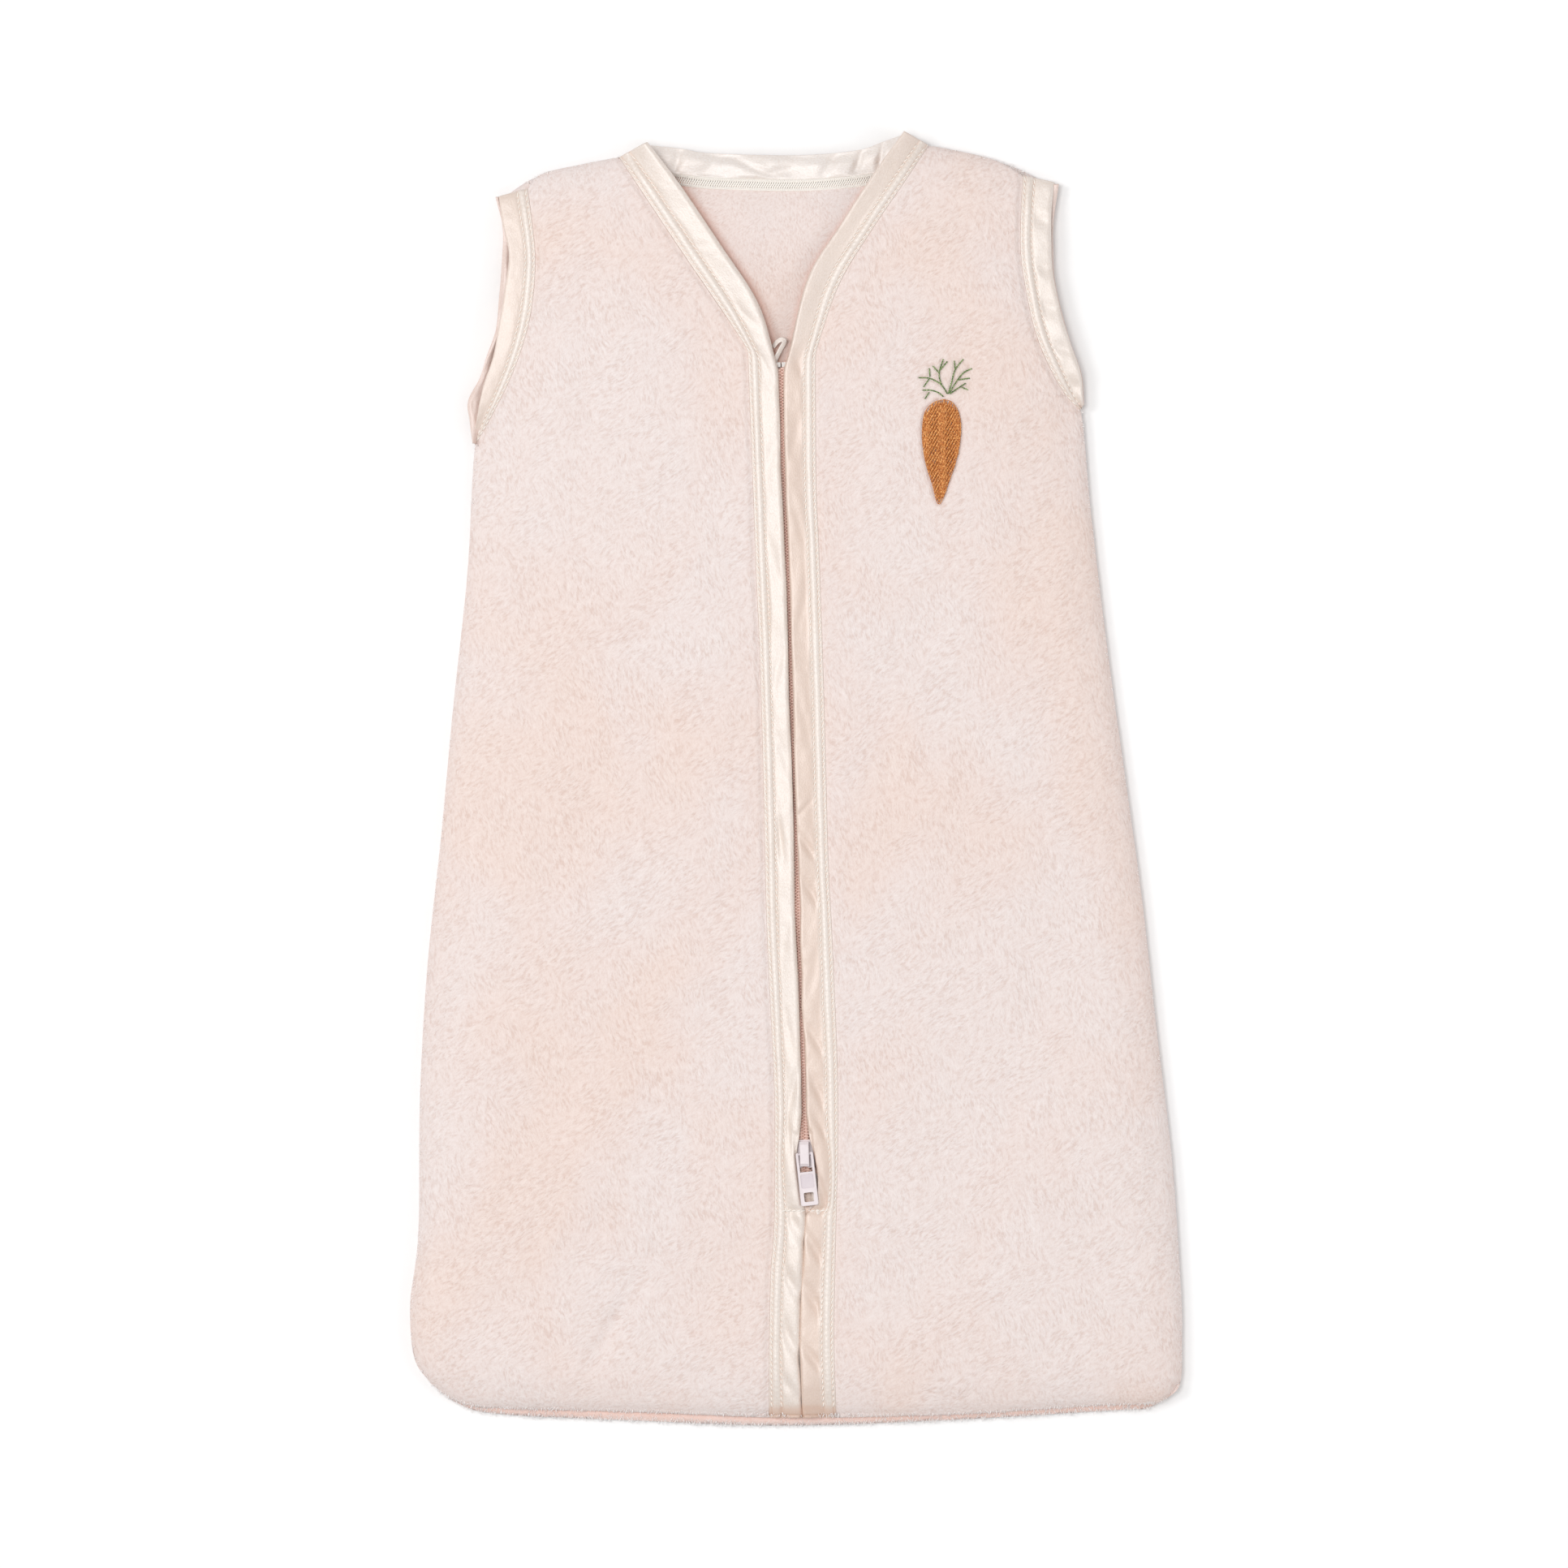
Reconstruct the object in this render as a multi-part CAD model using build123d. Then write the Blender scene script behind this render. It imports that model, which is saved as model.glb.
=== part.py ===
from build123d import *
import math
import os

# A baby sleeping bag lying flat on its back, zip closed. Millimetres, +Z up, +Y to the neck.
# The origin is on the underside, at the middle of the outline.

# --- driving dimensions -----------------------------------------------------------------
HALF_WIDTH = 181.0  # half the width at the hem
HALF_LENGTH = 303.0  # half the length from hem to shoulder peak
PANEL = 4.0  # thickness of one layer of plush
CROWN_TOP = 17.0  # top of the front panels along the zip
SATIN = 1.2  # thickness of the folded satin binding
THREAD = 0.3  # how far a stitch row stands on the satin
THREAD_SHARE = 0.05  # width of a stitch row, as a share of a binding's width
ROWS = (0.08, 0.37)  # the two stitch rows, as shares of a binding's width
RAW_EDGE = 0.42  # where the plush ends inside a binding, as a share of its width
TALL = 60.0  # height of the plan shapes used for trimming
BEYOND = HALF_LENGTH + 20.0  # y of the trimming shapes' ends, clear of the bag
EMBROIDERY, LEAF_RISE = 1.0, 0.6  # how far the motif's root and leaves stand on the plush

ZIP_FOOT = (4.0, -175.0)  # middle of the slider when the zip is closed
ZIP_TILT = 1.685  # degrees that the zip leans from +Y towards -X
ZIP_LENGTH = 368.0  # chain above the middle of the closed slider
ZIP_TAIL = 27.0  # tape below the middle of the closed slider
CHANNEL = 7.0  # half the width between the plush edges beside the zip
FLAP_GAP = 2.7  # half the gap between the satin flaps over the chain
TAPE_IN, TAPE_OUT = 1.0, 16.0  # inner and outer edge of a zip tape, from the zip line
TAPE_BOTTOM, TAPE = 12.4, 0.6
COIL_IN, COIL_OUT, COIL = 0.9, 3.1, 2.6  # inner and outer side, and height, of a coil
TAPE_TOP = TAPE_BOTTOM + TAPE
CHAIN_TOP = TAPE_TOP + COIL
COIL_FOOT = ZIP_TAIL - 14.0  # chain below the middle of the closed slider
FORK_Y = -190.0  # below this y the front panels meet along CLOSED_LINE

PLATE = 1.1  # thickness of the slider's two plates
SLIDER_LENGTH, SLIDER_WIDTH = 13.0, 9.6
SLIDER_BOTTOM, SLIDER_TOP = 11.0, 17.0
SLIDER_NOTCH = 1.6  # depth and half width of the notch between the mouths
SLIDER_HEEL = (1.4, 2.0)  # its two cut corners, across and along, at the wedge's end
SLIDER_TOE = (1.0, 1.5, 2.2)  # its other end: first step across, length, whole step across
RIM, RIM_OUT, RIM_SHORT, RIM_BACK = 0.8, 0.75, 5.5, 0.4  # inturned rims of the top plate
RIM_CLEAR = 0.3  # gap between the rims and the tapes
WEDGE_WIDTH, WEDGE_LENGTH, WEDGE_SHORT = 1.4, 3.4, 0.4
BRIDGE_LENGTH, BRIDGE_WIDTH, BRIDGE_TOP = 11.5, 4.3, 21.6
BRIDGE_WALL = 1.1
BRIDGE_SLOPE = (1.3, 1.2)  # its cut corners, along and up
BRIDGE_INSIDE = 0.6  # the same corners inside
BRIDGE_ROUND = 0.5
PULL_WIDTH, PULL_LENGTH, PULL_THICK = 8.2, 25.0, 1.6
PULL_YAW = 6.3  # degrees that the pull lies turned from -Y towards +X
PULL_HEIGHT = 19.6  # height of the pull's crossbar
BAR_RADIUS = 0.7
WINDOW_WIDTH, WINDOW_LENGTH = 5.8, 8.4  # opening in the pull that clears the bridge
PULL_CORNER, PULL_ROUND = 1.0, 0.3
PULL_BACK = 0.8  # how far the pull reaches past its crossbar
EYE_WIDTH, EYE_LENGTH, EYE_CORNER, EYE_UP = 4.6, 4.4, 0.6, 4.0  # square eye at the free end
SUNK_WIDTH, SUNK_LENGTH, SUNK_CORNER, SUNK_DEPTH = 6.0, 6.6, 0.8, 0.35
SUNK_GAP = 4.3  # from the window to the middle of the sunk panel
LATCH_WIDTH, LATCH_LENGTH, LATCH, LATCH_LIFT = 2.2, 8.4, 0.5, 0.45
PRONG, PRONG_TALL, PRONG_ALONG, PRONG_HOLE = 0.9, 2.4, 2.6, 1.5

# --- the outline, and the pairs of edges of each binding, as points (x, y) -----------------
LEFT_SIDE = [(-150.7, 157.5), (-154.1, 95.2), (-160.6, 34.4), (-172.7, -87.2), (-177.0, -212.4)]
LEFT_CORNER = [LEFT_SIDE[-1], (-180.8, -246.2), (-176.5, -275.0), (-159.4, -292.4), (-139.8, -297.7)]
HEM = [LEFT_CORNER[-1], (-76.2, -300.4), (-4.9, -303.0), (75.8, -299.9), (151.4, -295.4)]
RIGHT_CORNER = [HEM[-1], (174.0, -290.5), (181.0, -276.0), (180.7, -239.2)]
RIGHT_SIDE = [RIGHT_CORNER[-1], (169.3, -117.6), (154.1, 4.0), (141.9, 95.2), (134.5, 173.9)]
RIGHT_ARM_CORNER, LEFT_ARM_CORNER = (122.7, 279.6), (-140.9, 272.7)
RIGHT_SHOULDER = [RIGHT_ARM_CORNER, (96.6, 289.9), (50.6, 303.0)]
NECK = [RIGHT_SHOULDER[-1], (28.3, 295.1), (-0.2, 292.8), (-53.0, 295.5), (-69.4, 298.3)]
LEFT_SHOULDER = [NECK[-1], (-83.0, 292.4), (-119.1, 284.4), LEFT_ARM_CORNER]

LEFT_NECK_PLUSH = [(-88.0, 299.0), (-56.0, 251.0), (-33.0, 217.0), (-22.5, 200.8)]
LEFT_NECK_FOLD = [(-73.0, 303.5), (-41.7, 259.9), (-17.3, 222.2), (-9.6, 193.0)]
RIGHT_NECK_PLUSH = [(67.0, 304.0), (38.5, 258.5), (18.1, 222.2), (9.4, 199.8)]
RIGHT_NECK_FOLD = [(54.0, 308.5), (22.2, 260.9), (4.0, 232.0), (-4.1, 194.0)]
BACK_NECK_PLUSH = [(-76.0, 285.0), (-20.0, 282.2), (10.0, 282.2), (56.0, 287.0)]
BACK_NECK_FOLD = [(-71.0, 298.6), (-20.0, 292.8), (10.0, 293.2), (52.0, 303.4)]

LEFT_ARM_PLUSH = [(-127.0, 287.0), (-121.8, 243.9), (-126.5, 207.0), (-137.0, 180.5), (-149.0, 154.0)]
LEFT_ARM_FOLD = [(-139.0, 281.0), (-134.5, 247.4), (-139.7, 206.4), (-147.5, 180.0), (-154.0, 158.0)]
LEFT_ARM_BACK = [(-142.0, 275.0), (-138.5, 251.0), (-142.8, 209.0), (-150.0, 181.0), (-152.6, 158.0)]
RIGHT_ARM_PLUSH = [(107.0, 290.0), (105.3, 250.0), (109.6, 219.0), (121.0, 188.0), (133.0, 167.0)]
RIGHT_ARM_FOLD = [(122.7, 285.0), (119.7, 254.1), (123.6, 221.0), (131.5, 194.8), (138.0, 172.0)]
RIGHT_ARM_BACK = [(123.2, 280.5), (121.0, 254.1), (125.0, 221.0), (132.9, 194.8), (135.6, 172.0)]

LEFT_PLACKET = [
    (-22.5, 200.8), (-17.1, 64.0), (-13.5, -72.0), (-9.8, -158.0), (-12.5, -265.0), (-12.5, -308.0),
]
RIGHT_PLACKET = [
    (9.4, 199.8), (12.8, 64.0), (17.0, -72.0), (19.7, -158.0), (18.0, -265.0), (19.1, -308.0),
]
CLOSED_LINE = [(3.7, -203.0), (1.7, -265.0), (2.8, -308.0)]  # where the flaps meet below the zip

CARROT_LEFT = [(69.3, 177.7), (59.4, 168.0), (60.7, 147.8), (67.1, 128.4)]
CARROT_RIGHT = [(67.1, 128.4), (72.5, 141.6), (77.1, 165.0), (69.3, 177.7)]
LEAF_BASE = (69.3, 178.4)
LEAF_TIPS = [(57.9, 181.3), (56.1, 187.2), (64.4, 193.2), (76.9, 195.6), (80.9, 191.0), (79.0, 183.8)]
LEAF_SIDES = [(59.4, 177.8), (61.2, 191.8), (70.4, 194.4), (72.6, 195.3), (80.3, 186.9), (79.5, 181.3)]
LEAF_THREAD = 0.9

# --- heights of the pillow shape: (inset from the outline, height) --------------------------
OUTSIDE = [(0.0, 4.0), (1.5, 8.5), (9.0, 12.5), (35.0, 16.0), (80.0, CROWN_TOP)]
INSIDE = [(7.0, 4.0), (12.0, 8.5), (16.0, 10.5), (40.0, 12.2), (80.0, CROWN_TOP - PANEL)]
SEAM_INSET, SEAM_WIDTH, SEAM_HEIGHT = 8.8, 3.2, 0.8
JOIN = 0.15  # half the gap between the closed flaps


def outline(inset, z):
    """The bag's outline at height z, drawn in by inset."""

    def place(points):
        sx, sy = 1 - inset / HALF_WIDTH, 1 - inset / HALF_LENGTH
        return [(x * sx, y * sy, z) for x, y in points]

    edges = [
        Spline(*place(LEFT_SIDE)),
        Spline(*place(LEFT_CORNER)),
        Spline(*place(HEM)),
        Spline(*place(RIGHT_CORNER)),
        Spline(*place(RIGHT_SIDE)),
        Line(*place([RIGHT_SIDE[-1], RIGHT_ARM_CORNER])),
        Spline(*place(RIGHT_SHOULDER)),
        Spline(*place(NECK)),
        Spline(*place(LEFT_SHOULDER)),
        Line(*place([LEFT_ARM_CORNER, LEFT_SIDE[0]])),
    ]
    return Face(Wire(edges))


def pillow(levels, grow=0.0):
    """A closed pillow over the outline. grow moves its skin outward, or inward if negative."""
    base = [outline(levels[0][0] - grow, levels[0][1])]
    return loft(base + [outline(inset - grow, z + grow) for inset, z in levels[1:]], ruled=True)


def between(a, b, share):
    """Points that lie a share of the way from the points of a to the points of b."""
    return [(ax + (bx - ax) * share, ay + (by - ay) * share) for (ax, ay), (bx, by) in zip(a, b)]


def column(face, bottom=-1.0, top=TALL):
    """A plan face made into an upright column."""
    return Pos(0, 0, bottom) * extrude(face, top - bottom, dir=(0, 0, 1))


def strip(a, b, low=0.0, high=1.0, curve=Spline):
    """The plan face between two shares of the way from edge a to edge b."""
    one, two = between(a, b, low), between(a, b, high)
    edges = [curve(*one), Line(one[-1], two[-1]), curve(*reversed(two)), Line(two[0], one[0])]
    return Face(Wire([e for part in edges for e in part.edges()]))


def rows(a, b, curve=Spline):
    """The plan faces of the two stitch rows of a binding."""
    return [strip(a, b, r - THREAD_SHARE / 2, r + THREAD_SHARE / 2, curve) for r in ROWS]


def polygon(points):
    """A plan face with straight sides."""
    return Face(Wire(Polyline(*points, close=True).edges()))


def on_zip(x, y, z):
    """A place beside the zip: x across it, y along it from the closed slider, z up."""
    return Pos(*ZIP_FOOT, 0) * Rot(0, 0, ZIP_TILT) * Pos(x, y, z)


def zip_block(x, y, z):
    """A block from ranges across, along and above the zip."""
    size = [high - low for low, high in (x, y, z)]
    middle = [(high + low) / 2 for low, high in (x, y, z)]
    return on_zip(*middle) * Box(*size)


def zip_x(offset, y):
    """x of the line that runs beside the zip line at the given offset."""
    return ZIP_FOOT[0] + offset - (y - ZIP_FOOT[1]) * math.tan(math.radians(ZIP_TILT))


OUTER = pillow(OUTSIDE)
HOLLOW = pillow(INSIDE)
SATIN_SKIN = pillow(OUTSIDE, SATIN) - OUTER
THREAD_SKIN = pillow(OUTSIDE, SATIN + THREAD) - pillow(OUTSIDE, SATIN)
FRONT = OUTER - HOLLOW


def placket_edge(side):
    """The flap's fold edge beside the zip, then the line where the closed flaps meet."""
    gap = FLAP_GAP * side
    upper = [(zip_x(gap, y), y) for y in (193.5, 64.0, -72.0, -194.0)]
    return upper + [(x + JOIN * side, y) for x, y in CLOSED_LINE]


def placket_face(side):
    """The plan face of one placket strip."""
    outer = LEFT_PLACKET if side < 0 else RIGHT_PLACKET
    return polygon(outer + list(reversed(placket_edge(side))))


def armhole_cut(plush, fold, away):
    """Plan face of what an armhole takes off a panel, out to x = away."""
    edge = between(plush, fold, RAW_EDGE)
    sides = Polyline(edge[-1], (away, edge[-1][1]), (away, edge[0][1]), edge[0])
    return Face(Wire(Spline(*edge).edges() + sides.edges()))


def neck_cut():
    """Plan face of the V that the neck takes off the front panels."""
    left = between(LEFT_NECK_PLUSH, LEFT_NECK_FOLD, RAW_EDGE)
    right = between(RIGHT_NECK_PLUSH, RIGHT_NECK_FOLD, RAW_EDGE)
    head = Polyline(right[0], (right[0][0], BEYOND), (left[0][0], BEYOND), left[0])
    foot = Line(left[-1], right[-1])
    return Face(Wire(Spline(*left).edges() + foot.edges() + Spline(*reversed(right)).edges() + head.edges()))


def back_neck_cut():
    """Plan face of what the neck takes off the back panel."""
    edge = between(BACK_NECK_PLUSH, BACK_NECK_FOLD, RAW_EDGE)
    sides = Polyline(edge[-1], (edge[-1][0], BEYOND), (edge[0][0], BEYOND), edge[0])
    return Face(Wire(Spline(*edge).edges() + sides.edges()))


def make_back_panel():
    panel = extrude(outline(0, 0), PANEL, dir=(0, 0, 1))
    panel -= column(armhole_cut(LEFT_ARM_PLUSH, LEFT_ARM_BACK, -HALF_WIDTH))
    panel -= column(armhole_cut(RIGHT_ARM_PLUSH, RIGHT_ARM_BACK, HALF_WIDTH))
    return panel - column(back_neck_cut())


def make_front_panels():
    panel = FRONT - column(neck_cut())
    panel -= column(armhole_cut(LEFT_ARM_PLUSH, LEFT_ARM_FOLD, -HALF_WIDTH))
    panel -= column(armhole_cut(RIGHT_ARM_PLUSH, RIGHT_ARM_FOLD, HALF_WIDTH))
    panel -= zip_block((-CHANNEL, CHANNEL), (-ZIP_TAIL - 0.5, ZIP_LENGTH + 90), (0, TALL))
    halves = []
    for side in (-1, 1):
        away = side * (HALF_WIDTH + 19.0)
        meet = [(zip_x(0, y), y) for y in (BEYOND, FORK_Y)]
        meet += [(x + JOIN * side, y) for x, y in CLOSED_LINE]
        meet += [(away, CLOSED_LINE[-1][1]), (away, BEYOND)]
        halves.append(panel & column(polygon(meet)))
    return halves


def make_neck_binding(panels):
    bands = SATIN_SKIN & column(strip(LEFT_NECK_PLUSH, LEFT_NECK_FOLD))
    bands += SATIN_SKIN & column(strip(RIGHT_NECK_PLUSH, RIGHT_NECK_FOLD))
    back = column(strip(BACK_NECK_PLUSH, BACK_NECK_FOLD), PANEL, PANEL + SATIN)
    for panel in panels:
        back -= panel
    return bands + back


def make_armhole_binding(plush, fold, back_edge, panels):
    front = SATIN_SKIN & column(strip(plush, fold))
    back = column(strip(plush, back_edge), PANEL, PANEL + SATIN)
    for panel in panels:
        back -= panel
    return front + back


def make_stitching(pairs, binding):
    """Two rows of stitches along each pair of edges, clear of the binding that they hold."""
    faces = [face for a, b in pairs for face in rows(a, b)]
    return Compound([s for face in faces for s in (THREAD_SKIN & column(face) - binding).solids()])


def make_placket_stitching(side, neighbours):
    outer = LEFT_PLACKET if side < 0 else RIGHT_PLACKET
    inner = [(zip_x(side * FLAP_GAP, y), y) for _, y in outer[:4]] + CLOSED_LINE[1:]
    trimmed = THREAD_SKIN & column(placket_face(side))
    for neighbour in neighbours:
        trimmed -= neighbour
    faces = rows(outer, inner, Polyline)
    return Compound([s for face in faces for s in (trimmed & column(face)).solids()])


def make_coverstitch():
    """The flat web of looper thread inside the back neck."""
    below = [(x, y - 6.0) for x, y in BACK_NECK_PLUSH]
    web = column(strip(BACK_NECK_PLUSH, below, 0.05), PANEL, PANEL + 2 * THREAD)
    return web & Pos(-12, HALF_LENGTH, 0) * Box(90, 200, TALL)


def make_seam(box_x, box_y):
    """The part of the overlocked seam, just inside the outline, that lies in a plan box."""
    ring = column(outline(SEAM_INSET, 0), PANEL, PANEL + SEAM_HEIGHT)
    ring -= column(outline(SEAM_INSET + SEAM_WIDTH, 0), PANEL - 1, PANEL + 2)
    size, middle = (box_x[1] - box_x[0], box_y[1] - box_y[0]), (sum(box_x) / 2, sum(box_y) / 2)
    return ring & Pos(*middle, 0) * Box(*size, TALL)


def make_carrot():
    face = Face(Wire(Spline(*CARROT_LEFT).edges() + Spline(*CARROT_RIGHT).edges()))
    return (pillow(OUTSIDE, EMBROIDERY) - OUTER) & column(face)


def make_leaves(carrot):
    strokes = []
    for tip, twig in zip(LEAF_TIPS, LEAF_SIDES):
        fork = between([LEAF_BASE], [tip], 0.55)[0]
        for start, end in ((LEAF_BASE, tip), (fork, twig)):
            length, turn = math.dist(start, end), math.atan2(end[1] - start[1], end[0] - start[0])
            middle = between([start], [end], 0.5)[0]
            stroke = Rot(0, 0, math.degrees(turn)) * SlotCenterToCenter(length, LEAF_THREAD)
            strokes.append(column(Pos(*middle, 0) * stroke))
    fronds = strokes[0].fuse(*strokes[1:])
    return ((pillow(OUTSIDE, LEAF_RISE) - OUTER) & fronds) - carrot


def make_backing():
    patch = column(Pos(68.5, 161.0) * RectangleRounded(38, 78, 6))
    return (HOLLOW - pillow(INSIDE, -0.5)) & patch


def make_tape(side):
    across = sorted((side * TAPE_IN, side * TAPE_OUT))
    return zip_block(across, (-ZIP_TAIL, ZIP_LENGTH + 3), (TAPE_BOTTOM, TAPE_TOP))


def make_coil(side):
    across = sorted((side * COIL_IN, side * COIL_OUT))
    return zip_block(across, (-COIL_FOOT, ZIP_LENGTH), (TAPE_TOP, CHAIN_TOP))


def make_slider_body():
    """Two plates with inturned rims, joined by the wedge that parts the chain."""
    half, end = SLIDER_WIDTH / 2, SLIDER_LENGTH / 2
    (heel_in, heel_up), (toe_in, toe_long, toe_whole) = SLIDER_HEEL, SLIDER_TOE
    right = [
        (SLIDER_NOTCH, -end), (half - heel_in, -end), (half, -end + heel_up),
        (half - toe_in, end - toe_long), (half - toe_whole, end),
    ]
    left = [(-x, y) for x, y in reversed(right)]
    face = polygon([(0, -end + SLIDER_NOTCH)] + right + left)
    body = Pos(0, 0, SLIDER_TOP - PLATE) * extrude(face, PLATE, dir=(0, 0, 1))
    body += Pos(0, 0, SLIDER_BOTTOM) * extrude(face, PLATE, dir=(0, 0, 1))
    rim_height = SLIDER_TOP - PLATE - TAPE_TOP - RIM_CLEAR
    for side in (-1, 1):
        rim = Pos(side * (COIL_OUT + RIM_OUT), -RIM_BACK, SLIDER_TOP - PLATE - rim_height / 2)
        body += rim * Box(RIM, SLIDER_LENGTH - RIM_SHORT, rim_height)
    wedge = Pos(0, -end + WEDGE_LENGTH, (SLIDER_BOTTOM + SLIDER_TOP) / 2)
    body += wedge * Box(WEDGE_WIDTH, WEDGE_LENGTH, SLIDER_TOP - SLIDER_BOTTOM - WEDGE_SHORT)
    body -= Pos(0, PRONG_ALONG, SLIDER_TOP) * Box(PRONG_HOLE, PRONG_HOLE, 4)  # hole for the latch
    body = fillet(body.edges().filter_by(Axis.Z).group_by(SortBy.LENGTH)[0], 0.25)
    return on_zip(0, 0, 0) * body


def make_bridge():
    """The arch over the slider that holds the pull's crossbar."""
    height, half = BRIDGE_TOP - SLIDER_TOP, BRIDGE_LENGTH / 2
    along, up = BRIDGE_SLOPE
    outside = [(half, 0), (half, height - up), (half - along, height)]
    inner, roof = half - BRIDGE_WALL, height - BRIDGE_WALL
    inside = [(inner - BRIDGE_INSIDE, roof), (inner, roof - BRIDGE_INSIDE), (inner, 0)]
    mirrored = [[(-x, y) for x, y in reversed(points)] for points in (outside, inside)]
    side = Plane.YZ * polygon(outside + mirrored[0] + mirrored[1] + inside)
    arch = extrude(side, BRIDGE_WIDTH / 2, dir=(1, 0, 0), both=True)
    arch = fillet(arch.edges().filter_by(Axis.Y).group_by(Axis.Z)[-1], BRIDGE_ROUND)
    return on_zip(0, 0, SLIDER_TOP) * arch


def make_latch():
    """The spring leaf under the arch, with the prong that stops the slider from creeping."""
    leaf = Pos(0, 0, SLIDER_TOP + LATCH_LIFT) * Box(LATCH_WIDTH, LATCH_LENGTH, LATCH)
    middle = SLIDER_TOP + LATCH_LIFT - PRONG_TALL / 2
    prong = Pos(0, PRONG_ALONG, middle) * Box(PRONG, PRONG, PRONG_TALL)
    return on_zip(0, 0, 0) * (leaf + prong)


def make_pull():
    """A flat pull: crossbar, two arms, a sunk panel and a square eye at the free end."""
    tab = Pos(0, PULL_BACK - PULL_LENGTH / 2) * RectangleRounded(PULL_WIDTH, PULL_LENGTH, PULL_CORNER)
    window = Pos(0, PULL_BACK - WINDOW_LENGTH / 2) * Rectangle(WINDOW_WIDTH, WINDOW_LENGTH + 2 * PULL_BACK)
    eye_place = Pos(0, PULL_BACK - PULL_LENGTH + EYE_UP)
    eye = eye_place * RectangleRounded(EYE_WIDTH, EYE_LENGTH, EYE_CORNER)
    body = extrude(tab, PULL_THICK / 2, dir=(0, 0, 1), both=True)
    levels = body.edges().group_by(Axis.Z)
    body = fillet(levels[-1] + levels[0], PULL_ROUND)
    body -= column(window, -PULL_THICK, PULL_THICK) + column(eye, -PULL_THICK, PULL_THICK)
    sunk = Pos(0, -WINDOW_LENGTH - SUNK_GAP) * RectangleRounded(SUNK_WIDTH, SUNK_LENGTH, SUNK_CORNER)
    body -= column(sunk, PULL_THICK / 2 - SUNK_DEPTH, PULL_THICK)
    body += Rot(0, 90, 0) * Cylinder(BAR_RADIUS, PULL_WIDTH - 1.0)
    return Pos(*ZIP_FOOT, PULL_HEIGHT) * Rot(0, 0, PULL_YAW) * body


def make_top_stops():
    floor = TAPE_BOTTOM - 0.3
    along = (ZIP_LENGTH + 0.1, ZIP_LENGTH + 2.3)
    clips = []
    for side in (-1, 1):
        clip = zip_block(sorted((side * 0.3, side * 3.0)), along, (floor, CHAIN_TOP))
        tape = zip_block(sorted((side * TAPE_IN, side * 5)), along, (TAPE_BOTTOM, TAPE_TOP))
        clips.append(clip - tape)
    return Compound(clips)


def make_bottom_stop():
    along = (-ZIP_TAIL + 11.0, -ZIP_TAIL + 13.8)
    clip = zip_block((-3.2, 3.2), along, (TAPE_BOTTOM - 0.5, CHAIN_TOP))
    for side in (-1, 1):
        clip -= zip_block(sorted((side * TAPE_IN, side * 5)), along, (TAPE_BOTTOM, TAPE_TOP))
    return clip


def make_top_guard():
    """The tape's end, folded back on itself as a small loop above the chain."""
    outside = zip_block((-3.4, 3.0), (ZIP_LENGTH + 4.0, ZIP_LENGTH + 15.0), (13.2, 15.8))
    return outside - zip_block((-4.0, 4.0), (ZIP_LENGTH + 5.0, ZIP_LENGTH + 14.0), (14.2, 14.8))


def make_end_tack():
    """The bar of stitches across both flaps below the zip."""
    return THREAD_SKIN & Pos(3.7, -202.6, 0) * Box(21.0, 1.2, TALL)


front_left, front_right = make_front_panels()
fronts = (front_left, front_right)
neck = make_neck_binding(fronts)
arm_left = make_armhole_binding(LEFT_ARM_PLUSH, LEFT_ARM_FOLD, LEFT_ARM_BACK, fronts)
arm_right = make_armhole_binding(RIGHT_ARM_PLUSH, RIGHT_ARM_FOLD, RIGHT_ARM_BACK, fronts)
neck_pairs = [(LEFT_NECK_PLUSH, LEFT_NECK_FOLD), (RIGHT_NECK_PLUSH, RIGHT_NECK_FOLD)]
neck_rows = make_stitching(neck_pairs, neck)
end_tack = make_end_tack()
carrot_root = make_carrot()
parts = {
    "back_panel": make_back_panel(),
    "front_panel_left": front_left,
    "front_panel_right": front_right,
    "neck_binding": neck,
    "armhole_binding_left": arm_left,
    "armhole_binding_right": arm_right,
    "placket_binding_left": (SATIN_SKIN & column(placket_face(-1))) - neck,
    "placket_binding_right": (SATIN_SKIN & column(placket_face(1))) - neck,
    "zip_tape_left": make_tape(-1),
    "zip_tape_right": make_tape(1),
    "zip_coil_left": make_coil(-1),
    "zip_coil_right": make_coil(1),
    "zip_slider_body": make_slider_body(),
    "zip_slider_crown": make_bridge(),
    "zip_lock_spring": make_latch(),
    "zip_pull": make_pull(),
    "zip_top_stops": make_top_stops(),
    "zip_bottom_stop": make_bottom_stop(),
    "zip_top_guard": make_top_guard(),
    "zip_end_tack": end_tack,
    "embroidery_root": carrot_root,
    "embroidery_leaves": make_leaves(carrot_root),
    "embroidery_backing": make_backing(),
    "neck_stitching": neck_rows,
    "neck_back_coverstitch": make_coverstitch(),
    "armhole_stitching_left": make_stitching([(LEFT_ARM_PLUSH, LEFT_ARM_FOLD)], arm_left),
    "armhole_stitching_right": make_stitching([(RIGHT_ARM_PLUSH, RIGHT_ARM_FOLD)], arm_right),
    "placket_stitching_left": make_placket_stitching(-1, (neck_rows, end_tack)),
    "placket_stitching_right": make_placket_stitching(1, (neck_rows, end_tack)),
    "side_seam_left": make_seam((-200, -100), (-240, 150)),
    "side_seam_right": make_seam((100, 200), (-240, 165)),
    "bottom_seam": make_seam((-200, 200), (-310, -240)),
    "shoulder_seam_left": make_seam((-118, -88), (250, 310)),
    "shoulder_seam_right": make_seam((68, 102), (250, 310)),
}

os.makedirs("parts", exist_ok=True)
for name, shape in parts.items():
    export_step(shape, f"parts/{name}.step")
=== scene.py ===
import math

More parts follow.
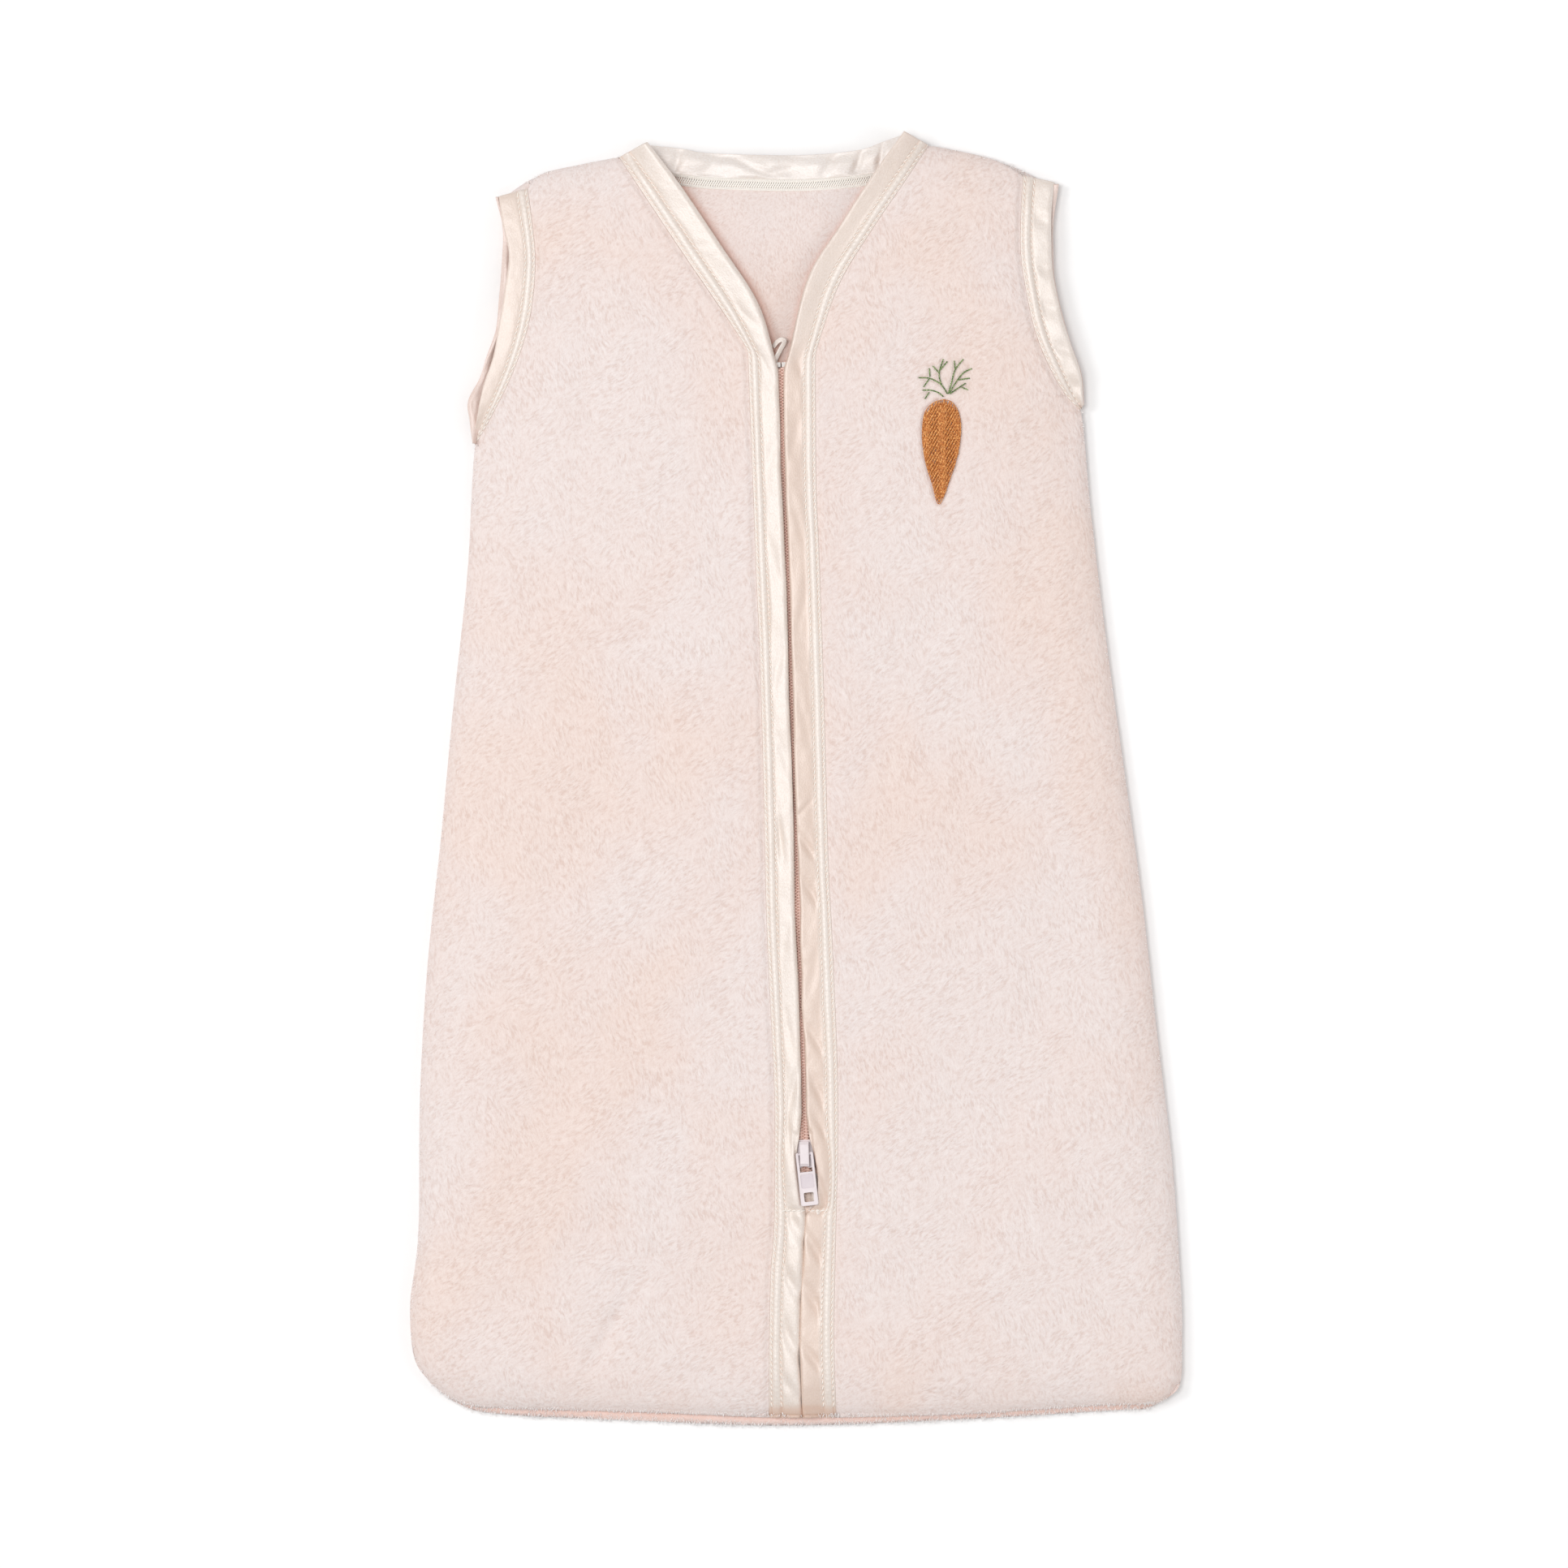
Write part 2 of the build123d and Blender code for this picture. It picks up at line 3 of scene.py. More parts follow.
import bpy
import numpy as np
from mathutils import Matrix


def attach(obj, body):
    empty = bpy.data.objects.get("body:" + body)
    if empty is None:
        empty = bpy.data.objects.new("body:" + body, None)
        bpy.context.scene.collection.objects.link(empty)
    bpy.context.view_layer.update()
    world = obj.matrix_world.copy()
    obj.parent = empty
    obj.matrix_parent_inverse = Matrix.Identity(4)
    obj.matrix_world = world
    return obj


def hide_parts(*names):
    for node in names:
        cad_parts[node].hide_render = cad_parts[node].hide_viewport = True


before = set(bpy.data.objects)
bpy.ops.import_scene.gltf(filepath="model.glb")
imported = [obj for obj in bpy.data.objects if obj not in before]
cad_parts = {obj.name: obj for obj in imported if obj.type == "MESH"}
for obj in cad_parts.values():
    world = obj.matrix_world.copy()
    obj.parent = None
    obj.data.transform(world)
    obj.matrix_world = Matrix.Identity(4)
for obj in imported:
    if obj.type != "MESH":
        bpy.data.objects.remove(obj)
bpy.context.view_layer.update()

# A baby sleeping bag lying flat on its back. Plan shapes are in millimetres in the CAD's frame,
# +Y to the neck, +Z up, and become metres when a mesh is made.
MM = 0.001

# --- heights and thicknesses, in mm -----------------------------------------------------------
SEAM_Z = 4.3  # the seam between front and back
RISE = 12.7  # how far the front stands above the seam at the zip
SHOULDER = 8.5  # distance over which its edge rounds up
DOME, VALLEY = 1.6, 1.3  # how far it swells inside its edges, and sinks along the zip
SEAM_PULL = 1.2  # how far the seams draw it down
PILE = 1.3  # how far the plush stands above the satin's seat
PILE_RAMP = 3.0  # distance over which the plush rises beside a binding
FRONT_THICK = 3.6  # of the front's cloth below its seat
HALF_WIDTH, HALF_LENGTH = 181.0, 303.0  # of the bag
SEAM_INSET = 10.4  # from the outline to the middle of the overlocked seams inside
BACK_EDGE, BACK_TOP = 2.2, 4.6  # the back's height along its edge, and the top of its pile
ZIP_FOOT, ZIP_TILT = (4.0, -175.0), math.radians(1.685)  # the pull's hinge at rest, and the zip's lean
ZIP_LENGTH, ZIP_TAIL = 368.0, 27.0  # of the tapes, above and below that place
SLIDER_Y, CLOSED_Y = -180.0, -196.0  # middle of the slider, and where the flaps start to close again
CHAIN_Z = 14.9  # middle height of the zip's chain
TAPE_Z, TAPE_THICK = 12.4, 0.6  # underside and thickness of the tapes
ROW_ONE, ROW_MIDDLE, ROW_TWO = 0.08, 0.225, 0.37  # stitch rows, as shares of a binding's width
STITCH_PITCH, STITCH_LENGTH, STITCH_RADIUS = 2.7, 2.2, 0.25
TACK_Y = -201.6  # the bar of stitches below the slider
HEM_FOLD, NECK_FOOT = -291.5, 190.0  # y where the flaps turn under, and where the neck begins
LONG_STRIP = 300.0  # longer strips run along both the neck and the zip
STRIP_STEP = 0.8  # distance between a strip's sections
PULL_TURN, PULL_REACH, PULL_HALF = math.radians(6.3), 26.0, 5.2  # where the pull lies on the flaps
PULL_UNDER = 18.2  # height that the flaps are pressed to beneath it
PULL_BACK = 12.0  # how far behind its hinge they are pressed, where it swings back over them
SIDES = ((-1, "left"), (1, "right"))

# --- plan shapes, as points (x, y) ------------------------------------------------------------
LEFT_SIDE = [
    (-171.4, -283.1), (-178.9, -271.0), (-180.8, -246.2), (-177.0, -212.4), (-176.2, -148.0),
    (-172.7, -87.2), (-166.3, -26.4), (-160.6, 34.4), (-154.1, 95.2), (-150.7, 157.5),
]
RIGHT_SIDE = [
    (174.0, -290.5), (180.3, -283.0), (181.2, -262.8), (180.7, -239.2), (176.5, -178.4),
    (169.3, -117.6), (162.5, -56.8), (154.1, 4.0), (145.7, 64.8), (138.4, 125.6), (134.5, 173.9),
]
BACK_HEM = [
    (-171.4, -283.1), (-159.4, -292.4), (-139.8, -297.7), (-76.2, -300.8), (-4.9, -303.2),
    (75.8, -300.4), (151.4, -295.9), (164.5, -295.2), (174.0, -290.5),
]
FRONT_HEM = [
    (-171.4, -283.1), (-159.4, -291.4), (-139.8, -294.6), (-76.2, -296.2), (-13.1, -298.3),
    (45.8, -298.1), (83.4, -297.0), (140.0, -293.6), (164.5, -292.8), (174.0, -290.5),
]
LEFT_NECK_PLUSH = [(-83.0, 291.8), (-70.2, 272.1), (-51.9, 244.6), (-33.0, 217.0), (-22.5, 200.8)]
LEFT_NECK_FOLD = [(-69.4, 298.3), (-55.0, 279.5), (-34.9, 249.8), (-17.3, 222.2), (-8.6, 193.5)]
RIGHT_NECK_PLUSH = [(62.5, 297.4), (50.8, 279.4), (35.5, 256.8), (20.3, 231.4), (9.4, 199.8)]
RIGHT_NECK_FOLD = [(50.6, 303.4), (37.2, 284.6), (20.4, 258.6), (5.4, 234.0), (-4.3, 195.0)]
BACK_NECK_TOP = [
    (-69.4, 297.6), (-53.0, 295.8), (-40.0, 293.8), (-0.2, 292.8), (28.3, 295.1), (42.0, 299.6),
    (50.6, 302.6),
]
BACK_NECK_STITCH = [
    (-66.0, 284.6), (-52.0, 283.0), (-36.0, 281.6), (0.0, 280.8), (24.0, 282.2), (38.0, 284.0),
    (54.0, 287.0),
]
LEFT_ARM_PLUSH = [
    (-125.6, 277.0), (-123.2, 259.6), (-121.8, 243.9), (-122.7, 227.4), (-124.9, 213.4), (-129.3, 198.6),
    (-135.4, 183.7), (-144.1, 167.1), (-150.3, 157.0),
]
LEFT_ARM_FOLD = [
    (-139.4, 273.4), (-137.2, 260.0), (-134.7, 245.0), (-136.4, 228.0), (-138.8, 212.0), (-142.0, 198.0),
    (-146.0, 184.5), (-149.4, 170.0), (-151.6, 159.0),
]
LEFT_ARM_BACK = [
    (-141.4, 273.2), (-138.6, 260.0), (-138.5, 247.0), (-140.2, 228.0), (-142.8, 209.0), (-147.4, 190.5),
    (-153.7, 178.0), (-152.4, 168.0), (-151.4, 157.5),
]
RIGHT_ARM_PLUSH = [
    (106.4, 283.4), (105.3, 262.8), (105.4, 245.4), (107.9, 227.9), (112.3, 208.8), (119.2, 192.2),
    (126.3, 180.2), (133.6, 173.0),
]
RIGHT_ARM_FOLD = [
    (121.4, 280.0), (119.9, 264.0), (119.6, 250.0), (121.2, 235.6), (124.0, 219.5), (128.4, 204.8),
    (133.4, 190.0), (134.9, 175.4),
]
RIGHT_ARM_BACK = [
    (123.4, 279.2), (120.9, 264.0), (120.7, 250.0), (122.0, 235.6), (124.8, 219.5), (129.4, 204.8),
    (134.3, 190.0), (135.3, 175.4),
]
LEFT_PLACKET = [
    (-22.5, 200.8), (-21.6, 175.0), (-20.1, 137.0), (-18.6, 96.0), (-17.1, 64.0), (-15.8, 23.0),
    (-14.6, -28.0), (-13.5, -72.0), (-10.6, -133.0), (-9.8, -158.0), (-10.2, -207.0), (-11.8, -231.0),
    (-12.5, -265.0), (-12.6, -299.2),
]
RIGHT_PLACKET = [
    (9.4, 199.8), (9.4, 175.0), (9.7, 137.0), (11.2, 101.0), (13.4, 35.0), (15.2, -35.0), (17.0, -72.0),
    (19.5, -133.0), (19.8, -174.0), (19.1, -201.0), (18.0, -258.0), (19.1, -299.2),
]
# half gaps between the flaps: (y, left, right); the slider parts them, and a tack closes them
GAPS = [
    (205.0, 0.9, 1.3), (193.0, 1.2, 1.2), (183.0, 1.3, 0.7), (167.0, 1.1, 0.4), (148.0, 1.5, 0.3),
    (129.0, 1.0, 0.3), (107.0, 0.8, 0.8), (90.0, 0.4, 1.0), (61.0, 0.5, 0.9), (38.0, 0.8, 1.0),
    (15.0, 0.4, 0.7), (-7.0, 0.3, 0.6), (-24.0, 0.4, 0.9), (-45.0, 0.7, 1.2), (-61.0, 1.1, 1.5),
    (-76.0, 0.8, 0.8), (-91.0, 0.4, 1.2), (-106.0, 0.3, 0.6), (-121.0, 0.3, 1.5), (-137.0, 0.3, 1.7),
    (-150.0, 0.5, 1.4), (-156.0, 0.6, 1.4), (-162.0, 1.3, 1.9), (-168.0, 2.2, 2.7), (-176.0, 3.7, 4.6),
    (-182.0, 3.6, 5.6), (-187.0, 3.0, 6.0), (-191.0, 2.4, 5.8), (-195.5, 1.8, 5.2), (-199.2, 0.8, 4.0),
    (-201.0, 0.2, 2.2), (-202.8, -0.4, 0.3), (-206.0, -0.7, 0.0), (-305.0, -0.7, 0.0),
]
CLOSED_LINE = [(-200.0, 0.0), (-224.0, -2.0), (-245.0, -3.8), (-265.0, -4.9), (-297.0, -4.6)]
CARROT = [
    (69.3, 177.9), (64.6, 176.6), (60.6, 172.4), (59.2, 166.0), (59.2, 157.5), (60.7, 147.8), (63.8, 137.8),
    (67.1, 128.4), (72.5, 141.6), (75.1, 149.5), (76.7, 157.5), (77.2, 166.0), (75.8, 172.6), (72.8, 176.8),
]
LEAVES = [
    [(68.9, 179.0), (66.5, 180.9), (62.8, 182.0), (59.4, 181.9)], [(62.3, 180.9), (60.4, 178.0)],
    [(70.8, 180.4), (68.4, 184.1), (65.9, 186.0), (62.2, 187.6), (57.5, 187.8)],
    [(62.7, 188.4), (62.4, 192.1)], [(62.2, 187.0), (59.8, 183.6)],
    [(69.2, 183.0), (67.8, 185.2), (67.0, 190.0), (68.9, 196.4)],
    [(67.0, 190.0), (64.1, 193.2)], [(67.5, 191.6), (70.7, 195.3)],
    [(71.3, 180.4), (72.7, 185.2), (74.5, 191.6), (78.2, 196.4)], [(74.5, 191.6), (74.0, 195.6)],
    [(71.9, 180.9), (74.5, 185.2), (78.2, 190.0), (82.2, 192.1)], [(75.6, 186.8), (81.2, 187.6)],
    [(72.1, 180.4), (75.6, 182.8), (79.3, 185.2)], [(77.7, 183.3), (80.4, 182.2)],
]


# --- curves, noise and distance ---------------------------------------------------------------
def run_along(points):
    """How far along the line each of its points is."""
    return np.concatenate([[0], np.cumsum(np.linalg.norm(np.diff(points, axis=0), axis=1))])


def dense(points, count):
    """Points evenly spaced along a smooth curve through the given ones."""
    p = np.array(points, float)
    if len(p) > 2:
        ends = np.vstack([2 * p[0] - p[1], p, 2 * p[-1] - p[-2]])
        a, b, c, d = ends[:-3], ends[1:-2], ends[2:-1], ends[3:]
        t = np.linspace(0, 1, 25)[:-1, None, None]
        square, cube = 2 * a - 5 * b + 4 * c - d, 3 * b - a - 3 * c + d
        curve = 0.5 * (2 * b + (c - a) * t + square * t**2 + cube * t**3)
        p = np.vstack([curve.transpose(1, 0, 2).reshape(-1, p.shape[1]), p[-1:]])
    run = run_along(p)
    at = np.linspace(0, run[-1], count)
    return np.stack([np.interp(at, run, p[:, k]) for k in range(p.shape[1])], axis=1)


def normals(line):
    """Unit vectors square to a line of points, in plan and to its left."""
    d = np.gradient(line, axis=0)
    d /= np.linalg.norm(d, axis=1, keepdims=True)
    return np.stack([-d[:, 1], d[:, 0]], axis=1)


def xyz(x, y, z):
    """Points from their coordinates, each a number or a grid."""
    return np.stack(np.broadcast_arrays(x, y, z), axis=-1)


def noise(x, y, scale, seed):
    """Smooth noise between -1 and 1, whose lumps are about scale mm across."""
    table = np.random.RandomState(seed).uniform(-1, 1, (128, 128))
    u, v = np.asarray(x) / scale + 57.3, np.asarray(y) / scale + 31.7
    i, j = np.floor(u).astype(int), np.floor(v).astype(int)
    f, g = u - i, v - j
    f, g = f * f * (3 - 2 * f), g * g * (3 - 2 * g)
    a, b = table[i % 128, j % 128], table[(i + 1) % 128, j % 128]
    c, d = table[i % 128, (j + 1) % 128], table[(i + 1) % 128, (j + 1) % 128]
    return (a * (1 - f) + b * f) * (1 - g) + (c * (1 - f) + d * f) * g


def distance(x, y, line):
    """Distance from each point to a line of points."""
    x, y = np.asarray(x, float), np.asarray(y, float)
    p = np.stack([x.ravel(), y.ravel()], axis=1)
    best = np.full(len(p), 1e9)
    for a, b in zip(line[:-1], line[1:]):
        d = b - a
        t = np.clip(((p - a) @ d) / max(d @ d, 1e-9), 0, 1)
        off = p - (a + t[:, None] * d)
        best = np.minimum(best, np.einsum("ij,ij->i", off, off))
    return np.sqrt(best).reshape(x.shape)


def smooth(x):
    x = np.clip(x, 0, 1)
    return x * x * (3 - 2 * x)


def bump(x, middle, width):
    return np.exp(-(((x - middle) / width) ** 2))


def zip_line(y):
    """x of the middle of the zip, and of the line where the flaps meet below it."""
    straight = ZIP_FOOT[0] - (y - ZIP_FOOT[1]) * math.tan(ZIP_TILT)
    low = np.array(CLOSED_LINE)[::-1]
    return straight + np.where(y < -200, np.interp(y, low[:, 0], low[:, 1]), 0)


SHOULDER_LEFT = [(-83.0, 292.4), (-105.0, 287.6), (-119.1, 284.4), (-127.2, 280.3), (-140.9, 273.5)]
SHOULDER_RIGHT = [(122.7, 279.6), (109.8, 284.6), (96.6, 289.9), (78.0, 294.6), (62.9, 297.6)]
RIMS = [
    np.vstack([dense(LEFT_SIDE[::-1], 40), dense(FRONT_HEM, 44), dense(RIGHT_SIDE, 44)]),
    dense(SHOULDER_LEFT, 6), dense(SHOULDER_RIGHT, 6),
]
ARM_EDGES = [dense(LEFT_ARM_BACK, 14), dense(RIGHT_ARM_BACK, 14)]


def nearest(x, y, lines):
    return np.minimum.reduce([distance(x, y, line) for line in lines])


def creased(z, u, w, creases, share=1.0):
    """Heights z with a dent for each crease: (u, w, turn in degrees, half length, half width, depth)."""
    for at, across, turn, long, wide, deep in creases:
        c, d = math.cos(math.radians(turn)), math.sin(math.radians(turn))
        along, over = (u - at) * c + (w - across) * d, -(u - at) * d + (w - across) * c
        z = z - deep * share * np.exp(-((along / long) ** 2) - ((over / wide) ** 2))
    return z


def undulation(x, y):
    """The soft rise and fall of the cloth, with a few long creases."""
    z = 1.3 * noise(x, y, 95, 3) + 0.75 * noise(x + y, y - x, 52, 5) + 0.36 * noise(x, y, 21, 8)
    return creased(z, x, y, CREASES)


CREASES = [
    (-86, -258, 62, 30, 5, 2.4), (-118, -236, 40, 40, 12, 1.1), (-70, 118, 35, 60, 14, 0.8),
    (-95, -20, 62, 50, 12, 0.9), (-60, -150, 70, 60, 16, 0.7), (60, -30, 20, 50, 12, 0.8),
    (90, 60, 65, 60, 14, 0.7), (70, -170, 80, 60, 16, 0.8), (110, -110, 72, 70, 14, 0.8),
    (30, 230, 20, 26, 8, 0.5), (-95, 235, 80, 30, 10, 0.6), (80, 225, 15, 30, 8, 0.5),
]


def seat(x, y):
    """Height of the front's cloth, without its pile."""
    d = nearest(x, y, RIMS)
    rise = 1 - np.exp(-((d / SHOULDER) ** 0.92))
    rise = rise * (1 - 0.5 * np.exp(-nearest(x, y, ARM_EDGES) / 20))
    beside = np.abs(x - zip_line(y))
    calm = 0.25 + 0.75 * smooth((beside - 12) / 25)
    dome = DOME * smooth((d - 25) / 110)
    valley = VALLEY * np.exp(-((beside / 9) ** 2)) * smooth(d / 20)
    level = SEAM_Z + RISE * rise - SEAM_PULL * smooth(d / 10) + dome - valley
    return level + undulation(x, y) * smooth(d / 40) * calm


# --- mesh building ----------------------------------------------------------------------------
def add_object(name, data):
    obj = bpy.data.objects.new(name, data)
    bpy.context.scene.collection.objects.link(obj)
    return obj


def add_mesh(name, verts, faces, material):
    """A smooth-shaded mesh object from points in mm."""
    mesh = bpy.data.meshes.new(name)
    mesh.from_pydata((np.asarray(verts, float) * MM).tolist(), [], faces)
    mesh.validate()
    mesh.update()
    mesh.shade_smooth()
    mesh.materials.append(material)
    return add_object(name, mesh)


def mark(obj, name, values):
    """Stores a number or a vector on each point, for the material to read."""
    values = np.asarray(values, np.float32)
    vector = values.ndim > 1 and values.shape[-1] == 3
    attribute = obj.data.attributes.new(name, "FLOAT_VECTOR" if vector else "FLOAT", "POINT")
    attribute.data.foreach_set("vector" if vector else "value", values.ravel())


def grid_faces(rows, cols, start=0, flip=False, wrap=False):
    i, j = np.meshgrid(np.arange(rows - 1), np.arange(cols if wrap else cols - 1), indexing="ij")
    a, b = i * cols + j, i * cols + (j + 1) % cols
    c, d = b + cols, a + cols
    quads = np.stack([a, d, c, b] if flip else [a, b, c, d], axis=-1).reshape(-1, 4) + start
    return quads.tolist()


def slab(name, top, under, material, step=4):
    """A closed piece between a fine top grid and a grid of every step-th point beneath it."""
    rows, cols = top.shape[:2]
    low = under[::step, ::step]
    r, c = low.shape[:2]
    verts = np.vstack([top.reshape(-1, 3), low.reshape(-1, 3)])
    start = rows * cols
    faces = grid_faces(rows, cols) + grid_faces(r, c, start, flip=True)

    def fine(i, j):
        return i * cols + j

    def coarse(i, j):
        return start + i * c + j

    def skirt(f, k0, k1, flip):
        """Triangles between a run f of fine points and the two coarse points k0, k1 beneath it."""
        half = len(f) // 2
        made = [(f[n], k0, f[n + 1]) for n in range(half)] + [(f[half], k0, k1)]
        made += [(f[n], k1, f[n + 1]) for n in range(half, len(f) - 1)]
        return [t[::-1] for t in made] if flip else made

    for j in range(c - 1):
        for i, ci, flip in ((0, 0, False), (rows - 1, r - 1, True)):
            f = [fine(i, j * step + n) for n in range(step + 1)]
            faces += skirt(f, coarse(ci, j), coarse(ci, j + 1), flip)
    for i in range(r - 1):
        for j, cj, flip in ((0, 0, True), (cols - 1, c - 1, False)):
            f = [fine(i * step + n, j) for n in range(step + 1)]
            faces += skirt(f, coarse(i, cj), coarse(i + 1, cj), flip)
    return add_mesh(name, verts, faces, material)


def swept(name, sections, material):
    """A closed piece through a row of sections, with a cap at each end."""
    rows, cols = sections.shape[:2]
    faces = grid_faces(rows, cols, wrap=True)
    faces += [list(range(cols))[::-1], [(rows - 1) * cols + k for k in range(cols)]]
    return add_mesh(name, sections.reshape(-1, 3), faces, material)


def patch(left, right, bottom, top, rows, cols, edge_power):
    """A grid filled in between four edges; rows run from bottom to top."""
    u, v = np.linspace(0, 1, cols), np.linspace(0, 1, rows)
    u = 0.5 + 0.5 * np.sign(u - 0.5) * (1 - (1 - np.abs(2 * u - 1)) ** edge_power)

    def by(points, axis, at):
        """Points of an edge at even shares of its reach along one axis."""
        p = dense(points, 900)
        order = np.argsort(p[:, axis])
        lo, hi = p[0, axis], p[-1, axis]
        value = lo + (hi - lo) * at
        other = np.interp(value, p[order, axis], p[order, 1 - axis])
        return np.stack([other, value] if axis == 1 else [value, other], axis=1)

    lf, rt = by(left, 1, v), by(right, 1, v)
    bt, tp = by(bottom, 0, u), by(top, 0, u)
    uu, vv = u[None, :, None], v[:, None, None]
    mix = (1 - uu) * lf[:, None] + uu * rt[:, None] + (1 - vv) * bt[None] + vv * tp[None]
    corner = (1 - uu) * (1 - vv) * bt[0] + uu * (1 - vv) * bt[-1] + (1 - uu) * vv * tp[0] + uu * vv * tp[-1]
    return mix - corner


def tubes(name, paths, radius, material, sides=6, taper=True, point=False):
    """Many closed threads in one piece. paths is (threads, points, 3), radius a number or per thread."""
    paths = np.asarray(paths, float)
    m, n = paths.shape[:2]
    forward = np.gradient(paths, axis=1)
    forward /= np.maximum(np.linalg.norm(forward, axis=2, keepdims=True), 1e-9)
    side = np.cross(forward, [0, 0, 1.0])
    side /= np.maximum(np.linalg.norm(side, axis=2, keepdims=True), 1e-9)
    lift = np.cross(side, forward)
    turn = np.linspace(0, 2 * math.pi, sides, endpoint=False)
    ring = side[:, :, None] * np.cos(turn)[:, None] + lift[:, :, None] * np.sin(turn)[:, None]
    size = np.broadcast_to(np.asarray(radius, float).reshape(-1, 1), (m, n)).copy()
    if taper:
        ends = [1, 0.95, 0.6, 0.08] if point else [0.35, 1, 1, 0.35]
        size *= np.interp(np.linspace(0, 1, n), [0, 0.16, 0.84, 1], ends)
    verts = (paths[:, :, None] + ring * size[:, :, None, None]).reshape(-1, 3)
    one = np.array(grid_faces(n, sides, wrap=True))
    quads = (one[None] + (np.arange(m) * n * sides)[:, None, None]).reshape(-1, 4).tolist()
    caps = []
    for k in range(m):
        base = k * n * sides
        caps.append([base + s for s in range(sides)][::-1])
        caps.append([base + (n - 1) * sides + s for s in range(sides)])
    return add_mesh(name, verts, quads + caps, material)


class Strip:
    """A folded binding, from its edge on the plush (v = 0) to its free fold (v = 1).

    puff is how far it swells at the share crest of its free width, wave the depth of its puckers,
    scallop that of its fold's wander, rows whether it carries rows of stitches, and the last
    argument how much peach shade is painted on its flap.
    """

    def __init__(
        self, outer, fold, seed, puff, crest, wave,
        base=seat, scallop=0.0, creases=(), rows=True, painted_flap_shade=0.0,
    ):
        run = run_along((outer + fold) / 2)
        self.length, self.t = float(run[-1]), run / run[-1]
        self.outer, self.fold = outer, fold
        self.width = float(np.median(np.linalg.norm(outer - fold, axis=1)))
        self.seed, self.puff, self.crest, self.wave = seed, puff, crest, wave
        self.base, self.scallop, self.creases, self.rows = base, scallop, creases, rows
        self.painted_flap_shade = painted_flap_shade

    def plan(self, t, v):
        a = [np.interp(t, self.t, self.outer[:, k]) for k in (0, 1)]
        b = [np.interp(t, self.t, self.fold[:, k]) for k in (0, 1)]
        return [p + (q - p) * v for p, q in zip(a, b)]

    def lift(self, t, v):
        """Height of the top of the binding above its seat."""
        s, w = t * self.length, v * self.width
        z = 0.15 + 0.65 * smooth(v / 0.05)
        row_two = ROW_TWO if self.rows else 0.0
        if self.rows:
            pucker = 0.5 + 0.5 * np.cos(2 * math.pi * s / STITCH_PITCH)
            for row in (ROW_ONE, ROW_TWO):
                z = z - (0.35 + 0.3 * pucker) * bump(v, row, 0.04)
            quilting = noise(s, w, 5, self.seed + 3) + pucker - 0.5
            z = z + 0.75 * bump(v, ROW_MIDDLE, 0.09) + 0.22 * bump(v, ROW_MIDDLE, 0.1) * quilting
        free = np.clip((v - row_two - 0.02) / (1 - row_two), 0, 1)
        top = (self.crest - row_two) / (1 - row_two)
        swell = 1 + 0.3 * noise(s, 0 * w, 34, self.seed + 5)
        rising = np.clip(free / top, 0, 1)
        rising = 0.75 * rising + 0.25 * np.sin(0.5 * math.pi * rising)
        falling = np.cos(0.5 * math.pi * np.clip((free - top) / (1.02 - top), 0, 1)) ** 0.8
        z = z + self.puff * np.where(free < top, rising, falling) * swell
        inside = smooth(free / 0.15) * (1 - 0.6 * smooth((free - 0.85) / 0.15))
        z = z + self.wave * inside * noise((s + 1.5 * w) / 2.4, w - 0.25 * s, 8, self.seed)
        z = z + 0.6 * self.wave * inside * noise(s - 1.2 * w, w + 0.3 * s, 19, self.seed + 1)
        z = z + 0.13 * inside * noise(s, w * 1.5, 3.3, self.seed + 2)
        return creased(z, s, w, self.creases, inside)

    def at(self, t, v, lift=0.0):
        x, y = self.plan(t, v)
        shift = self.scallop * smooth((v - 0.5) / 0.5) * noise(t * self.length, 0 * t, 17, self.seed + 6)
        dx, dy = [np.interp(t, self.t, (self.fold - self.outer)[:, k]) / self.width for k in (0, 1)]
        x, y = x + dx * shift, y + dy * shift
        z = self.settle(x, y, self.base(x, y) + self.lift(t, v))
        return xyz(x, y, z + lift)

    def settle(self, x, y, z):
        """Height of the top once anything that lies on the binding has pressed it down."""
        return z


TOP_SHARES = np.array([
    0.0, 0.018, 0.035, 0.055, 0.08, 0.105, 0.135, 0.175, 0.225, 0.275, 0.315, 0.345, 0.37, 0.395, 0.43,
    0.47, 0.52, 0.57, 0.62, 0.67, 0.72, 0.77, 0.82, 0.87, 0.91, 0.945, 0.975, 0.993,
])
UNDER_SHARES = np.array([1.0, 0.985, 0.94, 0.85, 0.7, 0.5, 0.3, 0.12, 0.03])
UNDER_DEPTH = np.array([0.7, 1.25, 1.6, 1.75, 1.8, 1.5, 1.3, 1.1, 0.8])


